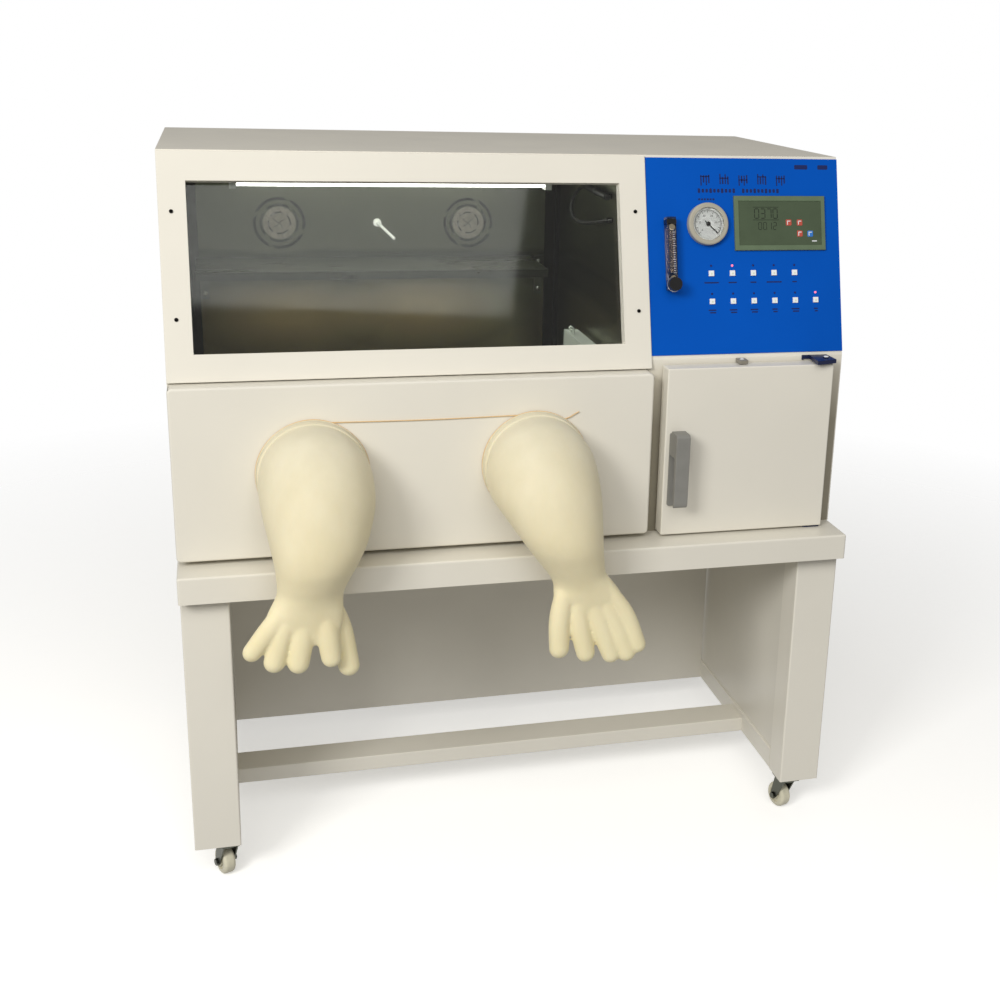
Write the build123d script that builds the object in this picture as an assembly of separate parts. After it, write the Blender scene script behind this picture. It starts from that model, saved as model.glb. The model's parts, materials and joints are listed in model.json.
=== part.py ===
from build123d import *
import os
from math import atan2, cos, degrees, pi, radians, sin

# Laboratory glove box on a wheeled stand: a sealed, heated work chamber with a
# sloping window, two glove ports, an airlock and a control panel.
# Millimetres. X runs to the right, Y to the back and Z up. The origin is on the
# floor, under the middle of the whole object's box.

# ---- Driving dimensions ----
WIDTH = 1200.0
TABLE_FRONT = -305.0
TABLE_DEPTH = 725.0
TABLE_TOP = 603.0
TABLE_THICK = 47.0
LEG_BOTTOM = 75.0
LEG_WIDTH = 80.0
LEG_DEPTH = 60.0
LEG_SIDE_INSET = 2.2
LEG_SETBACK = 27.0
RAIL_TALL = 42.0
TUBE_WALL = 2.0
TUBE_EDGE = 2.0             # outer corner radius of the rails
LEG_EDGE = 3.0              # outer corner radius of the legs
SHEET = 2.0

CASE_FRONT = TABLE_FRONT + 86.0
CASE_BACK = TABLE_FRONT + 708.0
CASE_TOP = 1280.0
BEND_Z = 936.0
SLANT_RUN = 94.0

PANEL_STAND_OFF = 37.0      # glove panel and airlock door stand this far forward
PORT_Z = 758.0
PORT_X_LEFT = -372.0
PORT_X_RIGHT = 11.0
PORT_RING_R = 90.0
PORT_BORE_R = 82.0

CHAMBER_LEFT = -566.0
CHAMBER_RIGHT = 184.0
CHAMBER_FLOOR = 625.0
CHAMBER_CEILING = 1250.0
CHAMBER_BACK = TABLE_FRONT + 652.0
BAFFLE_Y = TABLE_FRONT + 612.0
BAFFLE_X = (-547.0, 151.0)

WINDOW_RIGHT = 228.6
WHEEL_R = 25.0
WHEEL_WIDTH = 22.0
SWIVEL_TRAIL = 17.0
CASTER_INSET = 16.8         # each king pin stands this far inward of its leg's middle
CASTER_TURN = {"fl": 113.0, "fr": 106.0, "rl": 100.0, "rr": 118.0}   # degrees about +Z

PIN_GAP = 0.05              # radial running clearance of every pivot
SLANT = atan2(SLANT_RUN, CASE_TOP - BEND_Z)
SLOPE = Plane(
    origin=(0, CASE_FRONT, BEND_Z),
    x_dir=(1, 0, 0),
    z_dir=(0, -cos(SLANT), sin(SLANT)),
)


# ---- Helpers ----
def block(x0, x1, y0, y1, z0, z1):
    """A box between two corners."""
    centre = Pos((x0 + x1) / 2, (y0 + y1) / 2, (z0 + z1) / 2)
    return centre * Box(x1 - x0, y1 - y0, z1 - z0)


def slope_block(x0, x1, s0, s1, n0, n1):
    """A box on the sloping front: s runs up the slope, n stands out of it."""
    centre = Pos((x0 + x1) / 2, (s0 + s1) / 2, (n0 + n1) / 2)
    return SLOPE * centre * Box(x1 - x0, s1 - s0, n1 - n0)


def slope_rod(x, s, n0, n1, r):
    """A round rod or hole standing square to the sloping front."""
    return SLOPE * Pos(x, s, (n0 + n1) / 2) * Cylinder(r, n1 - n0)


def slope_rod_along(x, s0, s1, n, r):
    """A round rod that runs up the slope."""
    return SLOPE * Pos(x, (s0 + s1) / 2, n) * Rot(90, 0, 0) * Cylinder(r, s1 - s0)


def outermost(shape):
    """The edges that stand furthest out of the sloping front."""
    return shape.edges().group_by(Axis(SLOPE.origin, SLOPE.z_dir))[-1]


def slope_yz(s, n):
    """Y and Z of a point s up the slope and n out of it."""
    y = CASE_FRONT + s * sin(SLANT) - n * cos(SLANT)
    z = BEND_Z + s * cos(SLANT) + n * sin(SLANT)
    return y, z


def slope_at_z(z, n):
    """Where the plane n out of the slope reaches height z: its Y and Z."""
    s = (z - BEND_Z - n * sin(SLANT)) / cos(SLANT)
    return slope_yz(s, n)


def slope_at_y(y, n):
    """Where the plane n out of the slope reaches depth y: its Y and Z."""
    s = (y - CASE_FRONT + n * cos(SLANT)) / sin(SLANT)
    return slope_yz(s, n)


def plate(plane, points, thick):
    """A flat plate whose outline is drawn on a plane and thickened along its normal."""
    return extrude(plane * Polygon(*points, align=None), thick, dir=plane.z_dir)


def yz_plate(points, x0, x1):
    """A plate from x0 to x1 whose outline is drawn in Y and Z."""
    return plate(Plane.YZ.offset(x0), points, x1 - x0)


def x_rod(x0, x1, y, z, r):
    """A round rod along X."""
    return Pos((x0 + x1) / 2, y, z) * Rot(0, 90, 0) * Cylinder(r, x1 - x0)


def y_rod(x, y0, y1, z, r):
    """A round rod along Y."""
    return Pos(x, (y0 + y1) / 2, z) * Rot(90, 0, 0) * Cylinder(r, y1 - y0)


def z_rod(x, y, z0, z1, r):
    """A round rod along Z."""
    return Pos(x, y, (z0 + z1) / 2) * Cylinder(r, z1 - z0)


def hexagon(x, y0, y1, z, r):
    """A hexagonal nut or head along Y; r is its corner radius."""
    return extrude(Pos(x, y0, z) * Rot(90, 0, 0) * RegularPolygon(r, 6), y1 - y0, dir=(0, 1, 0))


def between(a, b, r):
    """A round rod from point a to point b."""
    start, end = Vector(*a), Vector(*b)
    along = end - start
    middle = (start + end) * 0.5
    return Plane(origin=middle, z_dir=along) * Cylinder(r, along.length)


def save(node, *pieces):
    """Write one node's separate solids to its STEP file."""
    solids = [solid for piece in pieces for solid in piece.solids()]
    shape = solids[0] if len(solids) == 1 else Compound(children=solids)
    export_step(shape, f"parts/{node}.step")


# ---- Stand ----
HALF = WIDTH / 2
LEG_OUT = HALF - LEG_SIDE_INSET
LEG_IN = LEG_OUT - LEG_WIDTH
LEG_FRONT = TABLE_FRONT + LEG_SETBACK
FRAME_BACK = TABLE_FRONT + TABLE_DEPTH - LEG_SETBACK
FRAME_TOP = TABLE_TOP - SHEET
TOP_RAIL_TALL = 40.0
STRETCHER_FRONT = TABLE_FRONT + 243.0
STRETCHER_DEEP = 68.0
STRETCHER_TALL = 30.0
REAR_SHEET_Y = TABLE_FRONT + 505.0
SHEET_RECESS = 3.0


def tube_x(x0, x1, y0, y1, z0, z1):
    """An open-ended square tube along X."""
    w = TUBE_WALL
    outer = block(x0, x1, y0, y1, z0, z1)
    outer = fillet(outer.edges().filter_by(Axis.X), TUBE_EDGE)
    return outer - block(x0, x1, y0 + w, y1 - w, z0 + w, z1 - w)


def tube_y(x0, x1, y0, y1, z0, z1):
    """An open-ended square tube along Y."""
    w = TUBE_WALL
    outer = block(x0, x1, y0, y1, z0, z1)
    outer = fillet(outer.edges().filter_by(Axis.Y), TUBE_EDGE)
    return outer - block(x0 + w, x1 - w, y0, y1, z0 + w, z1 - w)


def post(x0, x1, y0, y1):
    """A leg: a square tube closed by a plate at the bottom."""
    w = TUBE_WALL
    outer = block(x0, x1, y0, y1, LEG_BOTTOM, FRAME_TOP)
    outer = fillet(outer.edges().filter_by(Axis.Z), LEG_EDGE)
    return outer - block(x0 + w, x1 - w, y0 + w, y1 - w, LEG_BOTTOM + 2 * w, FRAME_TOP)


def make_stand():
    tray = block(-HALF, HALF, TABLE_FRONT, TABLE_FRONT + TABLE_DEPTH,
                 TABLE_TOP - TABLE_THICK, TABLE_TOP)
    corners = tray.edges().filter_by(Axis.Z)
    tray = fillet(corners, 4.0)
    tray = fillet(tray.faces().sort_by(Axis.Z)[-1].edges(), 3.8)
    hollow = block(-HALF + SHEET, HALF - SHEET, TABLE_FRONT + SHEET,
                   TABLE_FRONT + TABLE_DEPTH - SHEET, TABLE_TOP - TABLE_THICK, FRAME_TOP)
    save("stand_top", tray - fillet(hollow.edges().filter_by(Axis.Z), 2.0))

    top_z = FRAME_TOP - TOP_RAIL_TALL
    back = FRAME_BACK - LEG_DEPTH
    front = LEG_FRONT + LEG_DEPTH
    frame = []
    for side in (-1, 1):
        x0, x1 = sorted((side * LEG_IN, side * LEG_OUT))
        frame.append(post(x0, x1, LEG_FRONT, front))
        frame.append(post(x0, x1, back, FRAME_BACK))
        frame.append(tube_y(x0, x1, front, back, LEG_BOTTOM, LEG_BOTTOM + RAIL_TALL))
        frame.append(tube_y(x0, x1, front, back, top_z, FRAME_TOP))
    frame.append(tube_x(-LEG_IN, LEG_IN, LEG_FRONT, LEG_FRONT + 40, top_z, FRAME_TOP))
    frame.append(tube_x(-LEG_IN, LEG_IN, back, FRAME_BACK, top_z, FRAME_TOP))
    frame.append(tube_x(-LEG_IN, LEG_IN, STRETCHER_FRONT, STRETCHER_FRONT + STRETCHER_DEEP,
                        LEG_BOTTOM, LEG_BOTTOM + STRETCHER_TALL))
    save("stand_frame", *frame)

    low = LEG_BOTTOM + RAIL_TALL
    sheets = []
    for side in (-1, 1):
        for skin in (LEG_IN + SHEET_RECESS, LEG_OUT - SHEET_RECESS - SHEET):
            x0, x1 = sorted((side * skin, side * (skin + SHEET)))
            sheets.append(block(x0, x1, front, back, low, top_z))
    sheets.append(block(-LEG_IN, LEG_IN, REAR_SHEET_Y, REAR_SHEET_Y + SHEET, LEG_BOTTOM, FRAME_TOP))
    save("stand_sheets", *sheets)


# ---- Casters ----
CASTER_PLATE = 3.0
CASTER_PLATE_SIZE = 45.0
CASTER_SETBACK = 25.0       # from the leg's outer face to the king pin
RACE_Z = LEG_BOTTOM - CASTER_PLATE
FORK_TOP = RACE_Z - 2.0
KING_R = 4.0
AXLE_R = 4.0
CROWN_R = 19.0
CROWN_THICK = 2.5
CHEEK_GAP = 1.5             # between the wheel and each cheek
CHEEK_TOP = (-13.0, 16.0)   # a cheek's upper corners, behind and ahead of the king pin
CHEEK_TIP = 9.0             # half width of a cheek round the axle
BOLT_R = 6.5
TYRE_ROUND = 6.0
HUB_R = 9.0
DISH_R = 15.0
DISH_DEEP = 3.0


def caster_places():
    x = (LEG_IN + LEG_OUT) / 2 - CASTER_INSET
    front = LEG_FRONT + CASTER_SETBACK
    back = FRAME_BACK - CASTER_SETBACK
    return {"fl": (-x, front), "fr": (x, front), "rl": (-x, back), "rr": (x, back)}


def caster_plate():
    top = fillet(Box(CASTER_PLATE_SIZE, CASTER_PLATE_SIZE, CASTER_PLATE).edges().filter_by(Axis.Z), 6.0)
    top = Pos(0, 0, LEG_BOTTOM - CASTER_PLATE / 2) * top
    race = z_rod(0, 0, FORK_TOP + 0.3, RACE_Z, 15.0)
    king = z_rod(0, 0, FORK_TOP - 8.0, FORK_TOP + 0.3, KING_R - PIN_GAP)
    head = z_rod(0, 0, FORK_TOP - 8.0, FORK_TOP - 3.0, 7.0)
    return top + race + king + head


def caster_fork():
    """The fork with its wheel trailing along local +X, and the axle bolt."""
    crown = z_rod(0, 0, FORK_TOP - CROWN_THICK, FORK_TOP, CROWN_R)
    crown -= z_rod(0, 0, 0, LEG_BOTTOM, KING_R)
    inner = WHEEL_WIDTH / 2 + CHEEK_GAP
    outer = inner + CROWN_THICK
    cheeks = []
    for side in (-1, 1):
        y0, y1 = sorted((side * inner, side * outer))
        under = FORK_TOP - CROWN_THICK
        outline = [(CHEEK_TOP[0], under), (CHEEK_TOP[1], under), (SWIVEL_TRAIL + CHEEK_TIP, WHEEL_R),
                   (SWIVEL_TRAIL, WHEEL_R - CHEEK_TIP), (SWIVEL_TRAIL - CHEEK_TIP, WHEEL_R)]
        cheek = plate(Plane.XZ.offset(-y1), outline, y1 - y0)
        cheeks.append(cheek - y_rod(SWIVEL_TRAIL, y0 - 1, y1 + 1, WHEEL_R, AXLE_R))
    axle = y_rod(SWIVEL_TRAIL, -outer, outer, WHEEL_R, AXLE_R)
    head = hexagon(SWIVEL_TRAIL, outer, outer + 4, WHEEL_R, BOLT_R)
    nut = hexagon(SWIVEL_TRAIL, -outer - 5, -outer, WHEEL_R, BOLT_R)
    return crown + cheeks[0] + cheeks[1], axle + head + nut


def caster_wheel():
    tyre = Rot(90, 0, 0) * Cylinder(WHEEL_R, WHEEL_WIDTH)
    rims = tyre.edges().filter_by(GeomType.CIRCLE)
    tyre = fillet(rims, TYRE_ROUND)
    hub = Rot(90, 0, 0) * Cylinder(HUB_R, WHEEL_WIDTH + 2.0)
    dish = Cylinder(DISH_R, WHEEL_WIDTH) - Cylinder(DISH_R, WHEEL_WIDTH - 2 * DISH_DEEP)
    dish = Rot(90, 0, 0) * dish
    wheel = tyre - dish + hub - Rot(90, 0, 0) * Cylinder(AXLE_R + PIN_GAP, WHEEL_WIDTH + 4.0)
    return Pos(SWIVEL_TRAIL, 0, WHEEL_R) * wheel


def make_casters():
    plates = []
    for name, (x, y) in caster_places().items():
        turned = Pos(x, y, 0) * Rot(0, 0, CASTER_TURN[name])
        plates.append(Pos(x, y, 0) * caster_plate())
        fork, axle = caster_fork()
        save(f"caster_fork_{name}", turned * fork, turned * axle)
        save(f"caster_wheel_{name}", turned * caster_wheel())
    save("caster_plates", *plates)


# ---- Casing ----
SKIN = -2.0                 # the painted front skin lies this far below the slope
WINDOW_X = (-555.5, 179.4)
WINDOW_S = (23.0, 306.0)
LIP_DEEP = 17.0             # the window frame's return, down to the glass
LIP = 2.5
GLASS = 5.0
DOOR_X = (249.5, 568.5)
DOOR_Z = (607.0, 920.0)
AIRLOCK_X = (262.0, 558.0)
AIRLOCK_Z = (622.0, 908.0)
AIRLOCK_BACK = CASE_FRONT + 382.0
MOUTH_X = (266.0, 554.0)
MOUTH_Z = (628.0, 903.0)
PASSAGE_Y = (TABLE_FRONT + 115.0, TABLE_FRONT + 400.0)
PASSAGE_Z = (642.0, 902.0)
GAUGE = (341.8, 233.6)
CONTROLLER_X = (393.7, 571.2)
CONTROLLER_S = (186.0, 284.5)
BUTTON_PITCH = 40.4
BUTTON_X = 347.2
BUTTON_ROWS = {145.5: 5, 95.0: 6}
FLOW_X = 269.0
FLOW_S = (116.0, 245.0)
FLOW_KNOB_S = 125.0
KNOB_STEM_R = 4.0
GAUGE_CASE_R = 33.0
NIPPLE_R = 4.0
NIPPLE_LONG = 22.0
NIPPLE_HOLE_R = 6.0
NIPPLES = [(-470.0, 700.0), (-420.0, 700.0), (-370.0, 700.0)]
INLET_X, INLET_Z = 480.0, 690.0
INLET_W, INLET_H = 28.0, 20.0
VENT_X, VENT_Z = 400.0, 1080.0


def button_places():
    """X and slope position of each button, the upper row first."""
    return [(BUTTON_X + i * BUTTON_PITCH, s) for s, count in BUTTON_ROWS.items() for i in range(count)]


def make_casing():
    base = block(-HALF + SHEET, HALF - SHEET, CASE_FRONT + SHEET, CASE_BACK - SHEET,
                 TABLE_TOP, TABLE_TOP + SHEET)
    top_y, _ = slope_at_z(CASE_TOP, SKIN)
    under_y, _ = slope_at_z(CASE_TOP - SHEET, SKIN)
    bend_y, bend_z = slope_at_y(CASE_FRONT, SKIN)
    side = [(CASE_FRONT, TABLE_TOP), (bend_y, bend_z), (under_y, CASE_TOP - SHEET),
            (CASE_BACK, CASE_TOP - SHEET), (CASE_BACK, TABLE_TOP)]
    left = yz_plate(side, -HALF, -HALF + SHEET)
    right = yz_plate(side, HALF - SHEET, HALF)
    lid = [(under_y, CASE_TOP - SHEET), (top_y, CASE_TOP), (CASE_BACK, CASE_TOP),
           (CASE_BACK, CASE_TOP - SHEET)]
    save("casing_shell", base, left, right, yz_plate(lid, -HALF, HALF))

    rear = block(-HALF + SHEET, HALF - SHEET, CASE_BACK - SHEET, CASE_BACK,
                 TABLE_TOP, CASE_TOP - SHEET)
    for x, z in NIPPLES:
        rear -= y_rod(x, CASE_BACK - 5, CASE_BACK + 5, z, NIPPLE_HOLE_R)
    rear -= block(INLET_X - INLET_W / 2, INLET_X + INLET_W / 2, CASE_BACK - 5, CASE_BACK + 5,
                  INLET_Z - INLET_H / 2, INLET_Z + INLET_H / 2)
    for column in (-1, 1):
        for row in range(6):
            x = VENT_X + column * 45.0
            z = VENT_Z + row * 14.0
            rear -= block(x - 35, x + 35, CASE_BACK - 5, CASE_BACK + 5, z, z + 5)
    save("casing_rear", rear)

    skin_y, skin_z = slope_at_z(CASE_TOP - SHEET, SKIN)
    inner_y, _ = slope_at_z(CASE_TOP - SHEET, SKIN - SHEET)
    _, inner_bend_z = slope_at_y(CASE_FRONT + SHEET, SKIN - SHEET)
    profile = [(CASE_FRONT, TABLE_TOP), (CASE_FRONT, bend_z), (skin_y, skin_z),
               (inner_y, skin_z), (CASE_FRONT + SHEET, inner_bend_z), (CASE_FRONT + SHEET, TABLE_TOP)]
    fascia = yz_plate(profile, -HALF + SHEET, HALF - SHEET)
    room = LIP + 1.0
    fascia -= slope_block(WINDOW_X[0] - room, WINDOW_X[1] + room, WINDOW_S[0] - room,
                          WINDOW_S[1] + room, -30, 10)
    near, far = CASE_FRONT - 5, CASE_FRONT + 5
    for x in (PORT_X_LEFT, PORT_X_RIGHT):
        fascia -= y_rod(x, near, far, PORT_Z, PORT_RING_R + 4)
    fascia -= block(MOUTH_X[0], MOUTH_X[1], near, far, MOUTH_Z[0], MOUTH_Z[1])
    fascia -= slope_rod(*GAUGE, -30, 10, GAUGE_CASE_R + 1)
    fascia -= slope_block(CONTROLLER_X[0] + 8, CONTROLLER_X[1] - 8, CONTROLLER_S[0] + 8,
                          CONTROLLER_S[1] - 8, -30, 10)
    for s in (FLOW_S[0] + 14, FLOW_S[1] - 14):
        fascia -= slope_rod(FLOW_X, s, -30, 10, 6.0)
    for x, s in button_places():
        fascia -= slope_block(x - 7, x + 7, s - 7, s + 7, -30, 10)
    save("front_fascia", fascia)


# ---- Chamber ----
# Each grille ring of four arc slots: inner radius, outer radius, start angle, web angle.
GRILLE_RINGS = [(19.5, 22.5, 79.5, 24.0), (33.5, 38.2, 62.0, 16.0), (45.2, 51.3, 79.5, 13.0)]
GRILLE_LEAD = 10.0          # how far a slot's inner side is turned back from its outer side
FAN_X = (-390.0, -11.0)
FAN_Z = 1104.0
FAN_MOTOR_R = 22.0
FAN_SHAFT_R = 4.0
WALL_OFF = -26.0            # the chamber walls' sloping front edges, behind the glass
PROBE_FOOT = (-197.0, BAFFLE_Y, 1105.0)
PROBE_TIP = (-168.0, BAFFLE_Y - 46.0, 1078.0)


def make_liner():
    x0, x1 = CHAMBER_LEFT, CHAMBER_RIGHT
    w = SHEET
    y0 = CASE_FRONT + SHEET
    lower = slope_at_y(y0, WALL_OFF)
    upper = slope_at_z(CHAMBER_CEILING, WALL_OFF)
    side = [(y0, CHAMBER_FLOOR), lower, upper, (CHAMBER_BACK, CHAMBER_CEILING),
            (CHAMBER_BACK, CHAMBER_FLOOR)]
    floor = block(x0 - w, x1 + w, y0, CHAMBER_BACK + w, CHAMBER_FLOOR - w, CHAMBER_FLOOR)
    ceiling = block(x0 - w, x1 + w, upper[0], CHAMBER_BACK + w, CHAMBER_CEILING, CHAMBER_CEILING + w)
    back = block(x0, x1, CHAMBER_BACK, CHAMBER_BACK + w, CHAMBER_FLOOR, CHAMBER_CEILING)
    left = yz_plate(side, x0 - w, x0)
    right = yz_plate(side, x1, x1 + w)
    right -= block(x1 - 5, x1 + 5, *PASSAGE_Y, *PASSAGE_Z)
    save("chamber_liner", floor, ceiling, back, left, right)


def grille_slots(x, z):
    """Three rings of four slanted arc slots."""
    slots = []
    for r0, r1, turn, web in GRILLE_RINGS:
        for step in range(4):
            start = turn + step * 90.0
            sweep = 90.0 - web
            a0, a1 = radians(start), radians(start + sweep)
            am = (a0 + a1) / 2
            lead = radians(GRILLE_LEAD)
            inner = ThreePointArc((r0 * cos(a0 - lead), r0 * sin(a0 - lead)),
                                  (r0 * cos(am - lead), r0 * sin(am - lead)),
                                  (r0 * cos(a1 - lead), r0 * sin(a1 - lead)))
            outer = ThreePointArc((r1 * cos(a1), r1 * sin(a1)), (r1 * cos(am), r1 * sin(am)),
                                  (r1 * cos(a0), r1 * sin(a0)))
            outline = make_face([inner, Line(inner @ 1, outer @ 0), outer, Line(outer @ 1, inner @ 0)])
            slots.append(extrude(Plane.XZ.offset(-BAFFLE_Y) * Pos(x, z) * outline, 6, both=True))
    return slots


def make_baffle():
    baffle = block(*BAFFLE_X, BAFFLE_Y, BAFFLE_Y + SHEET, CHAMBER_FLOOR + 25, CHAMBER_CEILING - 20)
    for x in FAN_X:
        for slot in grille_slots(x, FAN_Z):
            baffle -= slot
    baffle -= y_rod(PROBE_FOOT[0], BAFFLE_Y - 5, BAFFLE_Y + 5, PROBE_FOOT[2], 3.5)
    save("fan_baffle", baffle)


def make_fans():
    motors = []
    for name, x in zip(("fan_left", "fan_right"), FAN_X):
        motor = y_rod(x, CHAMBER_BACK - 18, CHAMBER_BACK, FAN_Z, FAN_MOTOR_R)
        shaft = y_rod(x, BAFFLE_Y + 6, CHAMBER_BACK - 18, FAN_Z, FAN_SHAFT_R - PIN_GAP)
        motors.append(motor + shaft)
        hub = y_rod(x, BAFFLE_Y + 7, CHAMBER_BACK - 20, FAN_Z, 13.0)
        rotor = hub
        for blade in range(5):
            paddle = Pos(0, 0, 26) * Rot(0, 0, 28) * Box(17, 2.0, 30)
            rotor += Pos(x, BAFFLE_Y + 14, FAN_Z) * Rot(0, blade * 72.0, 0) * paddle
        rotor -= y_rod(x, BAFFLE_Y, CHAMBER_BACK, FAN_Z, FAN_SHAFT_R)
        save(name, rotor)
    save("fan_motors", *motors)


HEATER_R = 4.0
HEATER_X = (-520.0, 120.0)
HEATER_Z = (700.0, 790.0)
LAMP_X = (-485.0, 110.0)
LAMP_Y = TABLE_FRONT + 400.0
LAMP_Z = 1212.0
LAMP_R = 13.0
SHELF_X = (-552.0, 118.0)
SHELF_FRONT = TABLE_FRONT + 432.0
SHELF_Z = 1036.0
CLEAT_X = (-546.0, 130.0)
CLEAT_WIDTH = 16.0


def make_heater():
    """A hairpin heating rod behind the baffle, on two brackets."""
    x0, x1 = HEATER_X
    z_low, z_high = HEATER_Z
    y = CHAMBER_BACK - 14.0
    bend_r = (z_high - z_low) / 2
    bend = Pos(x1, y, z_low + bend_r) * Rot(90, 0, 0) * Torus(bend_r, HEATER_R)
    heater = bend & block(x1, x1 + 2 * bend_r, y - 20, y + 20, z_low - 20, z_high + 20)
    heater += x_rod(x0, x1, y, z_low, HEATER_R)
    heater += x_rod(x0, x1, y, z_high, HEATER_R)
    for x in (x0 + 120, x1 - 120):
        heater += block(x - 6, x + 6, y - 8, CHAMBER_BACK, z_low - 12, z_high + 12)
    save("heater", heater)


def make_lamp_and_shelf():
    tube = x_rod(LAMP_X[0] + 12, LAMP_X[1] - 12, LAMP_Y, LAMP_Z, LAMP_R)
    holders = [block(x0, x1, LAMP_Y - 15, LAMP_Y + 15, LAMP_Z - 17, CHAMBER_CEILING - 16)
               for x0, x1 in ((LAMP_X[0], LAMP_X[0] + 12), (LAMP_X[1] - 12, LAMP_X[1]))]
    batten = block(LAMP_X[0], LAMP_X[1], LAMP_Y - 22, LAMP_Y + 22, CHAMBER_CEILING - 16, CHAMBER_CEILING)
    save("lamp", tube, *holders, batten)

    shelf = block(SHELF_X[0], SHELF_X[1], SHELF_FRONT, BAFFLE_Y - 4, SHELF_Z - 16, SHELF_Z)
    shelf -= block(SHELF_X[0], SHELF_X[1], SHELF_FRONT + SHEET, BAFFLE_Y - 4 - SHEET,
                   SHELF_Z - 16, SHELF_Z - SHEET)
    front, back = BAFFLE_Y - 4, BAFFLE_Y
    cleats = []
    for foot, arm_x in zip(CLEAT_X, (SHELF_X[0] + 9, SHELF_X[1] - 19)):
        upright = block(foot, foot + CLEAT_WIDTH, front, back, SHELF_Z - 82, SHELF_Z)
        x0, x1 = min(foot, arm_x), max(foot + CLEAT_WIDTH, arm_x + 10)
        strip = block(x0, x1, front, back, SHELF_Z - 32, SHELF_Z - 18)
        arm = block(arm_x, arm_x + 10, BAFFLE_Y - 110, back, SHELF_Z - 30, SHELF_Z - 16)
        cleats.append(upright + strip + arm)
    save("shelf", shelf, *cleats)


def make_probe():
    nut = y_rod(PROBE_FOOT[0], BAFFLE_Y - 5, BAFFLE_Y, PROBE_FOOT[2], 8.0)
    rod = between((PROBE_FOOT[0], BAFFLE_Y - 3, PROBE_FOOT[2]), PROBE_TIP, 3.0)
    save("temperature_probe", nut + rod)


CABLE_R = 3.5
SLEEVE_R = 6.5
SLEEVE_BACK = CASE_FRONT + 270.0
# The lamp cable leaves the upper clip, loops in the back corner and comes to the lower clip.
CABLE_ROUTE = [
    (CHAMBER_RIGHT - 12, CASE_FRONT + 128, 1202),
    (CHAMBER_RIGHT - 12, CASE_FRONT + 300, 1206),
    (CHAMBER_RIGHT - 24, CASE_FRONT + 340, 1176),
    (CHAMBER_RIGHT - 24, CASE_FRONT + 336, 1142),
    (CHAMBER_RIGHT - 20, CASE_FRONT + 270, 1136),
    (CHAMBER_RIGHT - 12, CASE_FRONT + 170, 1152),
    (CHAMBER_RIGHT - 7, CASE_FRONT + 128, 1160),
]


def arc_radii(route):
    """The largest arc that fits between the runs at each inner point."""
    radii = []
    for before, point, after in zip(route, route[1:], route[2:]):
        into = Vector(*point) - Vector(*before)
        out = Vector(*after) - Vector(*point)
        half_turn = radians(into.get_angle(out)) / 2
        radii.append(0.45 * min(into.length, out.length) * cos(half_turn) / sin(half_turn))
    return radii


def tube_along(route, r):
    """A round tube of straight runs joined by tangent arcs."""
    radii = arc_radii(route)
    path = FilletPolyline(*route, radius=radii)
    start = Plane(origin=path @ 0, z_dir=path % 0)
    tube = sweep(start * Circle(r), path=path)
    print("tube", round(path.length, 1), "long, volume ratio",
          round(tube.volume / (pi * r * r * path.length), 4), "least radius", round(min(radii), 1))
    return tube


def make_lamp_cable():
    tube = tube_along(CABLE_ROUTE, CABLE_R)
    x, y, z = CABLE_ROUTE[0]
    sleeve = between((x, y - 4, z), (x, SLEEVE_BACK, z + 3.3), SLEEVE_R)
    clips = [block(x, CHAMBER_RIGHT, y + 8, y + 18, z - 3, z + 3)]
    x, y, z = CABLE_ROUTE[-1]
    clips.append(block(x - 3, CHAMBER_RIGHT, y - 5, y + 5, z - 5, z + 5))
    save("lamp_cable", tube + sleeve + clips[0] + clips[1])


# ---- Window ----
def make_window():
    x0, x1 = WINDOW_X
    s0, s1 = WINDOW_S
    low = (914.0 - BEND_Z) / cos(SLANT)
    high = (CASE_TOP - 2.0 - BEND_Z) / cos(SLANT)
    face = slope_block(-HALF, WINDOW_RIGHT, low, high, SKIN, 3.0)
    face = fillet(outermost(face), 1.5)
    lip = slope_block(x0 - LIP, x1 + LIP, s0 - LIP, s1 + LIP, -LIP_DEEP, 0)
    opening = slope_block(x0, x1, s0, s1, -40, 10)
    frame = face + lip - opening
    save("window_frame", frame)
    edge = 12.0
    save("window_glass", slope_block(x0 - edge, x1 + edge, s0 - edge, s1 + edge,
                                     -LIP_DEEP - GLASS, -LIP_DEEP))
    screws = []
    for x in (-579.6, 207.0):
        for s in (80.4, 256.0):
            screw = slope_rod(x, s, 3.0, 4.6, 3.2)
            screw -= slope_rod(x, s, 4.0, 5.0, 1.4)
            screws.append(screw)
    save("window_screws", *screws)


# ---- Gloves ----
PANEL_X = (-600.0, 225.0)
PANEL_Z = (612.0, 912.0)
PANEL_FRONT = CASE_FRONT - PANEL_STAND_OFF
RING_FRONT = PANEL_FRONT - 18.0
CUFF = 2.7
CUFF_R = PORT_RING_R + 0.3 + CUFF
GLOVE_START = RING_FRONT - 0.3
HAND_Y = TABLE_FRONT - 64.0
WRIST_Z = PORT_Z - 185.0
WRIST_R = 54.0
KNUCKLE_Z = WRIST_Z - 55.0
PALM_HALF = 84.0
PALM_THICK = 68.0
FINGER_R = 17.0


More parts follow.
